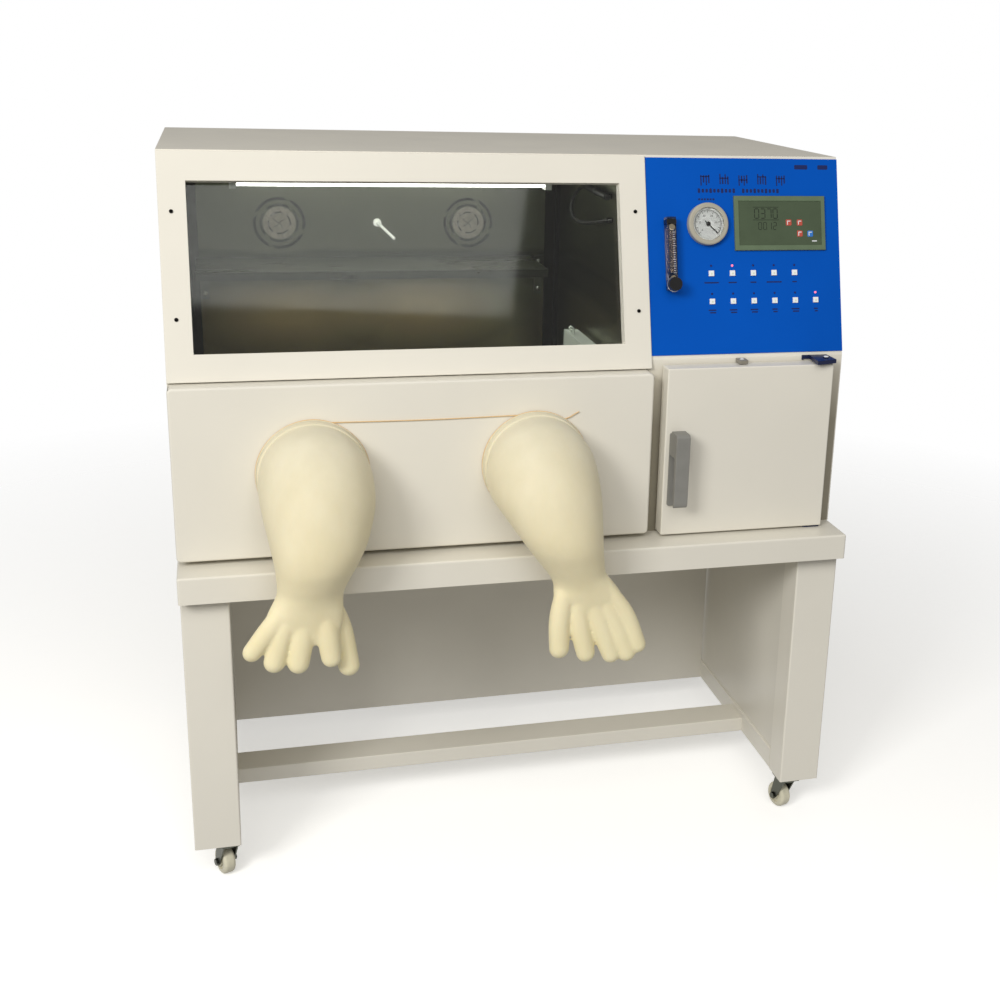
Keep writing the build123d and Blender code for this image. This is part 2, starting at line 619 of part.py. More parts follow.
def make_glove_panel():
    x0, x1 = PANEL_X
    z0, z1 = PANEL_Z
    pan = block(x0, x1, PANEL_FRONT, CASE_FRONT, z0, z1)
    pan = fillet(pan.edges().filter_by(Axis.Y), 8.0)
    pan = fillet(pan.faces().sort_by(Axis.Y)[0].edges(), 4.0)
    w = SHEET
    pan -= block(x0 + w, x1 - w, PANEL_FRONT + w, CASE_FRONT, z0 + w, z1 - w)
    for x in (PORT_X_LEFT, PORT_X_RIGHT):
        pan -= y_rod(x, PANEL_FRONT - 5, CASE_FRONT, PORT_Z, PORT_RING_R)
    save("glove_panel", pan)

    rings = []
    for x in (PORT_X_LEFT, PORT_X_RIGHT):
        ring = y_rod(x, RING_FRONT, CASE_FRONT + 4, PORT_Z, PORT_RING_R)
        ring += y_rod(x, PANEL_FRONT + w, PANEL_FRONT + w + 4, PORT_Z, PORT_RING_R + 7)
        ring -= y_rod(x, RING_FRONT - 5, CASE_FRONT + 9, PORT_Z, PORT_BORE_R)
        rings.append(ring)
    save("port_rings", *rings)


def cuff(port_x):
    """The glove's mouth, stretched over the port ring."""
    band = y_rod(port_x, GLOVE_START, PANEL_FRONT - 1.0, PORT_Z, CUFF_R)
    return band - y_rod(port_x, GLOVE_START, PANEL_FRONT, PORT_Z, CUFF_R - CUFF)


def glove(port_x, drift, hand_drift, tips):
    """A hanging glove in front of its ring: the sleeve, palm and fingers."""
    # Each station: sideways share of the drift, Y, Z, radius, tilt of its normal.
    stations = [
        (0.00, GLOVE_START, PORT_Z, CUFF_R, 0),
        (0.02, RING_FRONT - 36, PORT_Z - 6, 97.0, 25),
        (0.12, HAND_Y + 26, PORT_Z - 45, 93.0, 65),
        (0.50, HAND_Y + 6, PORT_Z - 110, 75.0, 88),
        (1.00, HAND_Y, WRIST_Z, WRIST_R, 90),
    ]
    sections = []
    for share, y, z, r, tilt in stations:
        facing = (0.0, -cos(radians(tilt)), -sin(radians(tilt)))
        centre = (port_x + share * drift, y, z)
        sections.append(Plane(origin=centre, x_dir=(1, 0, 0), z_dir=facing) * Circle(r))
    palm_x = port_x + hand_drift
    knuckles = Plane(origin=(palm_x, HAND_Y, KNUCKLE_Z), x_dir=(1, 0, 0), z_dir=(0, 0, -1))
    sections.append(knuckles * Ellipse(PALM_HALF, PALM_THICK / 2))
    hand = loft(sections, ruled=True)
    reach = PALM_HALF - FINGER_R
    for number, (tip_x, tip_z) in enumerate(tips):
        across = -reach + 2 * reach * number / (len(tips) - 1)
        root = (palm_x + across, HAND_Y, KNUCKLE_Z + 8)
        end = (tip_x, HAND_Y, tip_z + FINGER_R)
        hand += between(root, end, FINGER_R)
        hand += Pos(*end) * Sphere(FINGER_R)
    return hand


# How far the wrist and the hand hang sideways of the port, and each fingertip.
LEFT_DRIFT = (-23.0, -28.0)
RIGHT_DRIFT = (62.0, 95.0)
LEFT_TIPS = [(-486, 470), (-454, 446), (-414, 442), (-357, 449), (-326, 436)]
RIGHT_TIPS = [(35, 432), (85, 418), (130, 412), (161, 415), (191, 428)]


def make_gloves():
    save("glove_cuffs", cuff(PORT_X_LEFT), cuff(PORT_X_RIGHT))
    save("glove_left", glove(PORT_X_LEFT, *LEFT_DRIFT, LEFT_TIPS))
    save("glove_right", glove(PORT_X_RIGHT, *RIGHT_DRIFT, RIGHT_TIPS))


STRING_R = 1.0
STRING_Y = PANEL_FRONT - 2.2


def make_tie_string():
    """The elastic string round both cuffs, stretched between them, with a loose end."""
    loop_r = CUFF_R + 1.3
    loops = [Pos(x, STRING_Y, PORT_Z) * Rot(90, 0, 0) * Torus(loop_r, STRING_R)
             for x in (PORT_X_LEFT, PORT_X_RIGHT)]
    leave = radians(70.0)
    left = (PORT_X_LEFT + loop_r * cos(leave), STRING_Y, PORT_Z + loop_r * sin(leave))
    right = (PORT_X_RIGHT - loop_r * cos(leave), STRING_Y, PORT_Z + loop_r * sin(leave))
    run = between(left, right, STRING_R)
    tail_start = (PORT_X_RIGHT + loop_r * cos(radians(57)), STRING_Y, PORT_Z + loop_r * sin(radians(57)))
    tail_end = (tail_start[0] + 25, STRING_Y, tail_start[2] + 12)
    tail = between(tail_start, tail_end, STRING_R)
    save("tie_string", loops[0] + run + loops[1] + tail)


# ---- Airlock ----
DOOR_FRONT = CASE_FRONT - PANEL_STAND_OFF
DOOR_BACK = CASE_FRONT - 4.0
GASKET_X = (256.0, 560.0)
GASKET_Z = (617.0, 914.0)
HINGE_X = 560.0
HINGE_Y = DOOR_FRONT + 13.0
HINGE_PIN_R = 4.0
HINGE_DEPTH = 18.0
HINGE_PIN_DEEP = 15.0
HINGE_ARM_X = (519.0, 568.0)
HINGE_ARM_REACH = 16.0      # the upper arm reaches this far in front of the door
HINGE_ARM_THICK = 7.0
CATCH_X = (389.0, 406.0)
CATCH_DEEP = 22.0
INNER_DOOR_X = (147.0, 175.0)
INNER_DOOR_Y = (TABLE_FRONT + 104.0, TABLE_FRONT + 408.0)
INNER_DOOR_Z = (632.0, 920.0)
INNER_HINGE = (150.0, 637.0)
INNER_PIN_R = 3.0
BAIL_R = 1.2                # the wire loop on the inner door's top edge


def make_airlock_box():
    x0, x1 = AIRLOCK_X
    z0, z1 = AIRLOCK_Z
    y0, y1 = CASE_FRONT + SHEET, AIRLOCK_BACK
    w = SHEET
    walls = [
        block(x0 - w, x1 + w, y0, y1 + w, z0 - w, z0),
        block(x0 - w, x1 + w, y0, y1 + w, z1, z1 + w),
        block(x0, x1, y1, y1 + w, z0, z1),
        block(x1, x1 + w, y0, y1 + w, z0, z1),
        block(x0 - w, x0, y0, y1 + w, z0, z1) - block(x0 - 5, x0 + 5, *PASSAGE_Y, *PASSAGE_Z),
    ]
    p0, p1 = PASSAGE_Y
    q0, q1 = PASSAGE_Z
    left, right = CHAMBER_RIGHT + w, x0 - w
    sleeve = [
        block(left, right, p0 - w, p1 + w, q0 - w, q0),
        block(left, right, p0 - w, p1 + w, q1, q1 + w),
        block(left, right, p0 - w, p0, q0, q1),
        block(left, right, p1, p1 + w, q0, q1),
    ]
    pivots = []
    for y in (INNER_DOOR_Y[0] + 30, INNER_DOOR_Y[1] - 54):
        pin = y_rod(INNER_HINGE[0], y, y + 24, INNER_HINGE[1], INNER_PIN_R - PIN_GAP)
        foot = block(INNER_HINGE[0] - 5, INNER_HINGE[0] + 5, y - 8, y, CHAMBER_FLOOR, INNER_HINGE[1] + 5)
        pivots.append(foot + pin)
    save("airlock_box", *walls, *sleeve, *pivots)


def make_airlock_door():
    x0, x1 = DOOR_X
    z0, z1 = DOOR_Z
    w = SHEET
    pan = block(x0, x1, DOOR_FRONT, DOOR_BACK - w, z0, z1)
    pan = fillet(pan.edges().filter_by(Axis.Y), 3.0)
    pan = fillet(pan.faces().sort_by(Axis.Y)[0].edges(), 2.5)
    pan -= block(x0 + w, x1 - w, DOOR_FRONT + w, DOOR_BACK - w, z0 + w, z1 - w)
    for bottom, top in ((z0 + w, z0 + w + HINGE_DEPTH), (z1 - w - HINGE_DEPTH, z1 - w)):
        pan += block(HINGE_X - 9, x1 - w, HINGE_Y - 9, HINGE_Y + 9, bottom, top)
    pan -= z_rod(HINGE_X, HINGE_Y, z0 - 1, z0 + HINGE_DEPTH, HINGE_PIN_R)
    pan -= z_rod(HINGE_X, HINGE_Y, z1 - HINGE_DEPTH, z1 + 1, HINGE_PIN_R)
    back = block(x0 + 0.5, x1 - 0.5, DOOR_BACK - w, DOOR_BACK, z0 + 0.5, z1 - 0.5)
    save("airlock_door", pan, back)

    gasket = block(*GASKET_X, DOOR_BACK, CASE_FRONT - 0.3, *GASKET_Z)
    gasket = fillet(gasket.edges().filter_by(Axis.Y), 6.0)
    m = 1.0
    gasket -= block(MOUTH_X[0] - m, MOUTH_X[1] + m, DOOR_BACK - m, CASE_FRONT,
                    MOUTH_Z[0] - m, MOUTH_Z[1] + m)
    save("door_gasket", gasket)

    z_top = DOOR_Z[1]
    left, right = HINGE_ARM_X
    front = DOOR_FRONT - HINGE_ARM_REACH
    arm = [(left, CASE_FRONT), (left, CASE_FRONT - 3), (left + 15, CASE_FRONT - 3),
           (left + 9, front), (right + 1, front + 10), (right, CASE_FRONT)]
    upper = plate(Plane.XY.offset(z_top + 3.0), arm, HINGE_ARM_THICK)
    upper += z_rod(HINGE_X, HINGE_Y, z_top - HINGE_PIN_DEEP, z_top + 4, HINGE_PIN_R - PIN_GAP)
    upper += block(left, left + 3, CASE_FRONT - 3, CASE_FRONT, z_top + 1.5, z_top + 4)
    screw_z = z_top + 3.0 + HINGE_ARM_THICK
    upper += z_rod(HINGE_X - 5, HINGE_Y - 4, screw_z - 1, screw_z + 2, 5.0)
    z_low = DOOR_Z[0]
    lower = block(left + 15, right - 1, DOOR_FRONT + 4, CASE_FRONT, z_low - 3.4, z_low - 1.0)
    lower = fillet(lower.edges().filter_by(Axis.Z), 4.0)
    lower += z_rod(HINGE_X, HINGE_Y, z_low - 1.5, z_low + HINGE_PIN_DEEP, HINGE_PIN_R - PIN_GAP)
    catch = block(*CATCH_X, CASE_FRONT - CATCH_DEEP, CASE_FRONT, z_top + 1.5, z_top + 8.0)
    catch = fillet(catch.edges().filter_by(Axis.Z), 2.0)
    save("door_hinges", upper, lower, catch)


HANDLE_X = (258.0, 284.0)
HANDLE_Z = (672.0, 808.0)
HANDLE_BASE_Z = (665.0, 802.0)
HANDLE_REACH = 41.0
HANDLE_PLATE = 4.0
HANDLE_HEAD_Z = 763.0       # the grip hangs free below this height
GRIP_THICK = (10.0, 6.0)    # at its top and at its foot
LEVER_PIN_Z = 795.0
LEVER_PIN_Y = DOOR_FRONT - 12.0
LEVER_PIN_R = 3.0
LUG_HALF = 5.0
LUG_R = 5.5


def make_handle():
    """A base plate with a lug, and a lever whose head turns on the lug's pin."""
    x0, x1 = HANDLE_X
    middle = (x0 + x1) / 2
    plate_front = DOOR_FRONT - HANDLE_PLATE
    base = block(x0, x1, plate_front, DOOR_FRONT, *HANDLE_BASE_Z)
    base = fillet(base.edges().filter_by(Axis.Y), 3.0)
    lug_x = (middle - LUG_HALF, middle + LUG_HALF)
    base += x_rod(*lug_x, LEVER_PIN_Y, LEVER_PIN_Z, LUG_R)
    base += block(*lug_x, LEVER_PIN_Y, plate_front, LEVER_PIN_Z - LUG_R, LEVER_PIN_Z + LUG_R)
    base -= x_rod(x0, x1, LEVER_PIN_Y, LEVER_PIN_Z, LEVER_PIN_R)
    save("handle_base", base)

    front = DOOR_FRONT - HANDLE_REACH
    back = plate_front - 0.6
    z0, z1 = HANDLE_Z
    side = [(front + 1, z0 + 3), (front, z0 + 8), (front, z1 - 5), (front + 4, z1), (back - 6, z1),
            (back, LEVER_PIN_Z), (back, HANDLE_HEAD_Z), (front + GRIP_THICK[0], HANDLE_HEAD_Z),
            (front + GRIP_THICK[1], z0), (front + 4, z0)]
    lever = yz_plate(side, x0, x1)
    cheeks = lever.faces().sort_by(Axis.X)
    lever = fillet(cheeks[0].edges() + cheeks[-1].edges(), 1.2)
    room = LUG_HALF + 0.4
    lever -= block(middle - room, middle + room, LEVER_PIN_Y - LUG_R - 1.5, back + 1,
                   LEVER_PIN_Z - 2 * LUG_R, LEVER_PIN_Z + LUG_R + 4)
    lever += x_rod(x0 + 2, x1 - 2, LEVER_PIN_Y, LEVER_PIN_Z, LEVER_PIN_R - PIN_GAP)
    save("handle_lever", lever)


def make_inner_door():
    x0, x1 = INNER_DOOR_X
    y0, y1 = INNER_DOOR_Y
    z0, z1 = INNER_DOOR_Z
    w = SHEET
    slab = block(x0, x1 - w, y0, y1, z0 + 10, z1)
    slab = fillet(slab.edges().filter_by(Axis.X), 3.0)
    slab -= block(x0 + w, x1 - w, y0 + w, y1 - w, z0 + 32, z1 - w)
    back = block(x1 - w, x1, y0 + 1, y1 - 1, z0 + 11, z1 - 1)
    for y in (INNER_DOOR_Y[0] + 30, INNER_DOOR_Y[1] - 54):
        slab -= block(x0 - 1, x0 + 14, y - 9, y + 26, z0, z0 + 16)
        knuckle = y_rod(INNER_HINGE[0], y + 0.5, y + 24, INNER_HINGE[1], 6.0)
        web = block(x0, x0 + 6, y + 0.5, y + 24, INNER_HINGE[1], z0 + 18)
        slab += knuckle + web
        slab -= y_rod(INNER_HINGE[0], y - 1, y + 26, INNER_HINGE[1], INNER_PIN_R)
    p0, p1 = PASSAGE_Y
    q0, q1 = PASSAGE_Z
    seal = block(x1, CHAMBER_RIGHT - 0.3, p0 - 9, p1 + 7, q0, q1 + 10)
    seal -= block(x1 - 1, CHAMBER_RIGHT, p0 + 2, p1 - 2, q0 + 8, q1 - 2)
    knob_x, knob_y = x0 + 7, y1 - 24
    knob = z_rod(knob_x, knob_y, z1 - 1, z1 + 5, 2.0) + Pos(knob_x, knob_y, z1 + 7) * Sphere(3.5)
    bail_x, bail_z = x0 + 5, z1 + 13
    near, far = y1 - 60, y1 - 34
    bail = y_rod(bail_x, near - BAIL_R, far + BAIL_R, bail_z, BAIL_R)
    for y in (near, far):
        bail += z_rod(bail_x, y, z1 - 1, bail_z, BAIL_R)
    save("inner_door", slab + knob + bail, back, seal)


# ---- Control panel ----
GAUGE_BEZEL_R = 38.0
GAUGE_DIAL_R = 29.5
NEEDLE_R = 1.5
NEEDLE_ANGLE = -43.0        # at rest, from the slope's +X towards up-slope
BUTTON = 10.0
BUTTON_PROUD = 2.5
BUTTON_GAP = 0.3
LED_R = 1.5
LED_RISE = 14.6


def make_control_panel():
    top = (CASE_TOP - 4.0 - BEND_Z) / cos(SLANT)
    sheet = slope_block(WINDOW_RIGHT + 0.3, HALF, 0, top, SKIN, 0)
    sheet -= slope_rod(*GAUGE, -10, 10, GAUGE_CASE_R + 0.5)
    sheet -= slope_block(CONTROLLER_X[0] + 8, CONTROLLER_X[1] - 8, CONTROLLER_S[0] + 8,
                         CONTROLLER_S[1] - 8, -10, 10)
    for s in (FLOW_S[0] + 14, FLOW_S[1] - 14):
        sheet -= slope_rod(FLOW_X, s, -10, 10, 5.2)
    half = BUTTON / 2 + BUTTON_GAP
    for x, s in button_places():
        sheet -= slope_block(x - half, x + half, s - half, s + half, -10, 10)
    lamps = [slope_rod(x, s + LED_RISE, 0, 0.8, LED_R) for x, s in button_places()]
    save("control_panel", sheet, *lamps)

    for number, (x, s) in enumerate(button_places(), start=1):
        cap = slope_block(x - BUTTON / 2, x + BUTTON / 2, s - BUTTON / 2, s + BUTTON / 2, -5, BUTTON_PROUD)
        cap = fillet(outermost(cap), 0.8)
        flange = slope_block(x - 6.5, x + 6.5, s - 6.5, s + 6.5, -6, -4.6)
        save(f"button_{number}", cap + flange)


def make_gauge():
    x, s = GAUGE
    case = slope_rod(x, s, -34, 6, GAUGE_CASE_R)
    bezel = slope_rod(x, s, 0.2, 12, GAUGE_BEZEL_R)
    bezel = fillet(outermost(bezel), 3.5)
    body = case + bezel - slope_rod(x, s, 6, 13, GAUGE_DIAL_R)
    spindle = slope_rod(x, s, 5, 8.5, NEEDLE_R - PIN_GAP)
    save("vacuum_gauge", body + spindle)
    hub = slope_rod(x, s, 6.6, 8.6, 4.0)
    blade = SLOPE * Pos(x, s, 7.6) * Rot(0, 0, NEEDLE_ANGLE) * Pos(8, 0, 0) * Box(32, 1.4, 0.8)
    save("gauge_needle", hub + blade - slope_rod(x, s, 5, 9, NEEDLE_R))


FLOW_WIDTH = 17.0
FLOW_DEEP = 17.0
FLOW_TUBE_N = 9.5
FLOAT_R = 4.0
FLOW_BORE_R = 5.0
FLOW_KNOB_R = 12.5


def make_flowmeter():
    s0, s1 = FLOW_S
    x0, x1 = FLOW_X - FLOW_WIDTH / 2, FLOW_X + FLOW_WIDTH / 2
    body = slope_block(x0, x1, s0, s1, 1.5, 1.5 + FLOW_DEEP)
    body -= slope_rod_along(FLOW_X, s0 + 30, s1 - 14, FLOW_TUBE_N, FLOW_BORE_R)
    body -= slope_rod(FLOW_X, FLOW_KNOB_S, 8, 30, KNOB_STEM_R + PIN_GAP)
    for s in (s0 + 14, s1 - 14):
        body += slope_rod(FLOW_X, s, -14, 1.5, 5.0)
    save("flowmeter_body", body)
    save("flow_float", SLOPE * Pos(FLOW_X, s0 + 30 + FLOAT_R + 0.2, FLOW_TUBE_N) * Sphere(FLOAT_R))
    top = 1.5 + FLOW_DEEP
    knob = slope_rod(FLOW_X, FLOW_KNOB_S, top + 1, top + 14, FLOW_KNOB_R)
    knob = fillet(outermost(knob), 1.5)
    for step in range(12):
        angle = 2 * pi * step / 12
        groove_r = FLOW_KNOB_R + 0.6
        knob -= slope_rod(FLOW_X + groove_r * cos(angle), FLOW_KNOB_S + groove_r * sin(angle),
                          top + 3, top + 15, 1.3)
    save("flow_knob", knob + slope_rod(FLOW_X, FLOW_KNOB_S, 8.5, top + 2, KNOB_STEM_R))


def make_controller():
    x0, x1 = CONTROLLER_X
    s0, s1 = CONTROLLER_S
    bezel = slope_block(x0, x1, s0, s1, 0, 5)
    bezel = fillet(outermost(bezel), 1.6)
    bezel -= slope_block(x0 + 8, x1 - 8, s0 + 9, s1 - 9, 3.4, 6)
    case = slope_block(x0 + 9, x1 - 9, s0 + 9, s1 - 9, -60, 0)
    save("controller", bezel + case)


# ---- Rear connections ----
def make_rear_connectors():
    pieces = []
    for x, z in NIPPLES:
        body = y_rod(x, CASE_BACK - 12, CASE_BACK, z, NIPPLE_HOLE_R - 0.5)
        collar = hexagon(x, CASE_BACK, CASE_BACK + 6, z, 9.0)
        stem = y_rod(x, CASE_BACK + 6, CASE_BACK + 6 + NIPPLE_LONG, z, NIPPLE_R)
        bore = y_rod(x, CASE_BACK - 13, CASE_BACK + 7 + NIPPLE_LONG, z, 2.5)
        pieces.append(body + collar + stem - bore)
    x0, x1 = INLET_X - INLET_W / 2, INLET_X + INLET_W / 2
    z0, z1 = INLET_Z - INLET_H / 2, INLET_Z + INLET_H / 2
    flange = block(x0 - 11, x1 + 11, CASE_BACK, CASE_BACK + 3, z0 - 2, z1 + 4)
    housing = block(x0 + 0.5, x1 - 0.5, CASE_BACK - 24, CASE_BACK + 3, z0 + 0.5, z1 - 0.5)
    socket = block(x0 + 2, x1 - 2, CASE_BACK - 15, CASE_BACK + 4, z0 + 2, z1 - 2)
    inlet = flange + housing - socket
    for dx, dz in ((-7, -2), (0, 3), (7, -2)):
        blade = block(INLET_X + dx - 1, INLET_X + dx + 1, CASE_BACK - 15, CASE_BACK - 1,
                      INLET_Z + dz - 2, INLET_Z + dz + 2)
        inlet += blade
    save("rear_connectors", *pieces, inlet)


os.makedirs("parts", exist_ok=True)
make_stand()
make_casters()
make_casing()
make_liner()
make_baffle()
make_fans()
make_heater()
make_lamp_and_shelf()
make_probe()
make_lamp_cable()
make_window()
make_glove_panel()
make_gloves()
make_tie_string()
make_airlock_box()
make_airlock_door()
make_handle()
make_inner_door()
make_control_panel()
make_gauge()
make_flowmeter()
make_controller()
make_rear_connectors()
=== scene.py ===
import json
import math

import bmesh
import bpy
from mathutils import Matrix, Vector


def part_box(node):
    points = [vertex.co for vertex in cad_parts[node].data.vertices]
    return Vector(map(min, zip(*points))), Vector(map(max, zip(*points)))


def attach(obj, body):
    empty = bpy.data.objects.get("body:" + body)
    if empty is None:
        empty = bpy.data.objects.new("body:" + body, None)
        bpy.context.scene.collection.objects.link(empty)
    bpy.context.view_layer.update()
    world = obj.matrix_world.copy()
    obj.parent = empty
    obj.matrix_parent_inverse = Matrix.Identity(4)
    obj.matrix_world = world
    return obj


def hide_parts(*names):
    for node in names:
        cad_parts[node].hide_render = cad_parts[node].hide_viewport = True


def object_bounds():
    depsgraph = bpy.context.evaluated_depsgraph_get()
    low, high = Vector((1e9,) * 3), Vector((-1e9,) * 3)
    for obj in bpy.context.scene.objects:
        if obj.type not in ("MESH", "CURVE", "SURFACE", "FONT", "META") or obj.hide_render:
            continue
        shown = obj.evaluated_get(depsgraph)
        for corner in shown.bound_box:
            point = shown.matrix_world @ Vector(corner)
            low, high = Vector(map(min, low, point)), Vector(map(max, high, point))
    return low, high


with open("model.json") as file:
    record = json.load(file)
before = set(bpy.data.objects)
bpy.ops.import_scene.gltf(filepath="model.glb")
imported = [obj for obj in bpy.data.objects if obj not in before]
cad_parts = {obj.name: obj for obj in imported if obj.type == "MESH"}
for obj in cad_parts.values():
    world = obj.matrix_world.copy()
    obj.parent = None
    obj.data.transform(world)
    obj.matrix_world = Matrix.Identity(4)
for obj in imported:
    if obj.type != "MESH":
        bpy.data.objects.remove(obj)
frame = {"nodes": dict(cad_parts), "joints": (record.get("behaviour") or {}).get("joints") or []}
cad_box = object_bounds()
scene = bpy.context.scene
nodes = frame["nodes"]
joints = {j["name"]: j for j in frame["joints"]}
MM = 0.001


# ---- Camera: in front of the object, to its left and a little above ----
CAMERA_PLACE = (-0.5042, -2.4802, 1.4696)
CAMERA_TURN = (0.27505, 0.29568, 0.03428)           # yaw, pitch and roll, in radians
CAMERA_LENS = 48.935
CAMERA_SHIFT = (-0.097, -0.0441)


def make_camera():
    yaw, pitch, roll = CAMERA_TURN
    forward = Vector((math.sin(yaw) * math.cos(pitch), math.cos(yaw) * math.cos(pitch), -math.sin(pitch)))
    right = Vector((math.cos(yaw), -math.sin(yaw), 0.0))
    up = right.cross(forward)
    tilted_right = right * math.cos(roll) + up * math.sin(roll)
    tilted_up = up * math.cos(roll) - right * math.sin(roll)
    data = bpy.data.cameras.new("camera")
    data.lens = CAMERA_LENS
    data.sensor_width = 36.0
    data.shift_x, data.shift_y = CAMERA_SHIFT
    data.clip_end = 60.0
    camera = bpy.data.objects.new("camera", data)
    scene.collection.objects.link(camera)
    turn = Matrix((tilted_right, tilted_up, -forward)).transposed()
    camera.matrix_world = Matrix.Translation(CAMERA_PLACE) @ turn.to_4x4()
    scene.camera = camera


make_camera()

# ---- Places, from the frame ----
X = Vector((1.0, 0.0, 0.0))
SLOPE_UP = Vector(joints["float_rise"]["axis"]).normalized()
SLOPE_OUT = -Vector(joints["button_press_1"]["axis"]).normalized()
GAUGE = Vector(joints["needle_sweep"]["pos_m"])
KNOB = Vector(joints["flow_knob_turn"]["pos_m"])
NEEDLE_LIFT = 7.6 * MM              # the needle's middle stands this far out of the slope
panel_low, panel_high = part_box("control_panel")
SLOPE_START = GAUGE - X * GAUGE.x - SLOPE_OUT * NEEDLE_LIFT
SLOPE_START -= SLOPE_UP * ((SLOPE_START.z - panel_low.z) / SLOPE_UP.z)
SLOPE_TURN = Matrix((X, SLOPE_UP, SLOPE_OUT)).transposed().to_4x4()


def on_slope(x, s, n=0.0):
    """A point x across, s up the sloping front and n out of it, in mm."""
    return SLOPE_START + (X * x + SLOPE_UP * s + SLOPE_OUT * n) * MM


def slope_place(point):
    """The x, s and n of a point near the sloping front, in mm."""
    away = (point - SLOPE_START) / MM
    return away.x, away.dot(SLOPE_UP), away.dot(SLOPE_OUT)


def middle(node):
    low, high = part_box(node)
    return (low + high) / 2


# ---- Material helpers ----
def new_material(name):
    material = bpy.data.materials.new(name)
    material.use_nodes = True
    tree = material.node_tree
    return material, tree, tree.nodes["Principled BSDF"]


def set_shader(shader, **values):
    names = {
        "color": "Base Color", "rough": "Roughness", "metal": "Metallic", "spec": "Specular IOR Level",
        "coat": "Coat Weight", "coat_rough": "Coat Roughness", "transmission": "Transmission Weight",
        "ior": "IOR", "glow": "Emission Color", "glow_strength": "Emission Strength",
        "subsurface": "Subsurface Weight", "radius": "Subsurface Radius", "sub_scale": "Subsurface Scale",
        "sheen": "Sheen Weight", "sheen_rough": "Sheen Roughness",
    }
    for key, value in values.items():
        if key in ("color", "glow"):
            value = (*value, 1.0)
        shader.inputs[names[key]].default_value = value


def coordinates(tree, scale=(1.0, 1.0, 1.0), turn=(0.0, 0.0, 0.0)):
    """The object's own coordinates, stretched and turned."""
    texture = tree.nodes.new("ShaderNodeTexCoord")
    mapping = tree.nodes.new("ShaderNodeMapping")
    mapping.inputs["Scale"].default_value = scale
    mapping.inputs["Rotation"].default_value = turn
    tree.links.new(texture.outputs["Object"], mapping.inputs["Vector"])
    return mapping.outputs["Vector"]


def noise(tree, vector, scale, detail=3.0, rough=0.5, distortion=0.0):
    node = tree.nodes.new("ShaderNodeTexNoise")
    node.inputs["Scale"].default_value = scale
    node.inputs["Detail"].default_value = detail
    node.inputs["Roughness"].default_value = rough
    node.inputs["Distortion"].default_value = distortion
    tree.links.new(vector, node.inputs["Vector"])
    return node.outputs["Fac"]


def ramp(tree, value, stops):
    """A colour ramp from a value; stops are (place, (r, g, b))."""
    node = tree.nodes.new("ShaderNodeValToRGB")
    elements = node.color_ramp.elements
    while len(elements) < len(stops):
        elements.new(0.5)
    for element, (place, colour) in zip(elements, stops):
        element.position = place
        element.color = (*colour, 1.0)
    tree.links.new(value, node.inputs["Fac"])
    return node.outputs["Color"]


def spread(tree, value, low, high, from_low=0.3, from_high=0.7):
    """Maps a noise value onto a range."""
    node = tree.nodes.new("ShaderNodeMapRange")
    node.inputs["From Min"].default_value = from_low
    node.inputs["From Max"].default_value = from_high
    node.inputs["To Min"].default_value = low
    node.inputs["To Max"].default_value = high
    tree.links.new(value, node.inputs["Value"])
    return node.outputs["Result"]


def bump(tree, shader, height, strength, distance, under=None):
    node = tree.nodes.new("ShaderNodeBump")
    node.inputs["Strength"].default_value = strength
    node.inputs["Distance"].default_value = distance
    tree.links.new(height, node.inputs["Height"])
    if under is not None:
        tree.links.new(under, node.inputs["Normal"])
    tree.links.new(node.outputs["Normal"], shader.inputs["Normal"])
    return node.outputs["Normal"]


def spot(tree, centre, reach):
    """One at a centre on the back wall, falling to zero at its reach in X and Z."""
    node = tree.nodes.new("ShaderNodeTexGradient")
    node.gradient_type = "SPHERICAL"
    place = coordinates(tree, (1.0 / reach[0], 0.0, 1.0 / reach[1]))
    mapping = place.node
    mapping.inputs["Location"].default_value = (-centre[0] / reach[0], 0.0, -centre[1] / reach[1])
    tree.links.new(place, node.inputs["Vector"])
    return node.outputs["Fac"]


def mixed(tree, factor, first, second, blend="MIX"):
    """Blends two colours, each a socket or an (r, g, b)."""
    node = tree.nodes.new("ShaderNodeMix")
    node.data_type = "RGBA"
    node.blend_type = blend
    if isinstance(factor, float):
        node.inputs["Factor"].default_value = factor
    else:
        tree.links.new(factor, node.inputs["Factor"])
    for name, colour in (("A", first), ("B", second)):
        if isinstance(colour, tuple):
            node.inputs[name].default_value = (*colour, 1.0)
        else:
            tree.links.new(colour, node.inputs[name])
    return node.outputs["Result"]


def object_axes(tree):
    """The object's own X, Y and Z as separate values."""
    texture = tree.nodes.new("ShaderNodeTexCoord")
    split = tree.nodes.new("ShaderNodeSeparateXYZ")
    tree.links.new(texture.outputs["Object"], split.inputs["Vector"])
    return split.outputs


def link_tone(tree, shader, tone, gloss, low, high):
    """Links a tone to the base colour, and a noise to the roughness between two values."""
    tree.links.new(tone, shader.inputs["Base Color"])
    tree.links.new(spread(tree, gloss, low, high), shader.inputs["Roughness"])


def shade(colour, factor):
    return tuple(min(1.0, c * factor) for c in colour)


def paint(name, colour, rough=0.38, peel=0.10, drift=0.035, spec=0.45, coat=0.12):
    """Powder coat: orange peel, faint drifts of tone and uneven gloss."""
    material, tree, shader = new_material(name)
    set_shader(shader, spec=spec, coat=coat, coat_rough=0.25)
    place = coordinates(tree)
    drifts = noise(tree, place, 2.3, 5.0, 0.55)
    tone = ramp(tree, drifts, [(0.30, shade(colour, 1 - drift)), (0.52, colour),
                               (0.74, shade(colour, 1 + drift))])
    handling = noise(tree, place, 11.0, 6.0, 0.6)
    link_tone(tree, shader, tone, handling, rough - 0.06, rough + 0.08)
    grain = noise(tree, place, 520.0, 2.0, 0.5)
    bump(tree, shader, grain, peel, 0.25 * MM)
    return material


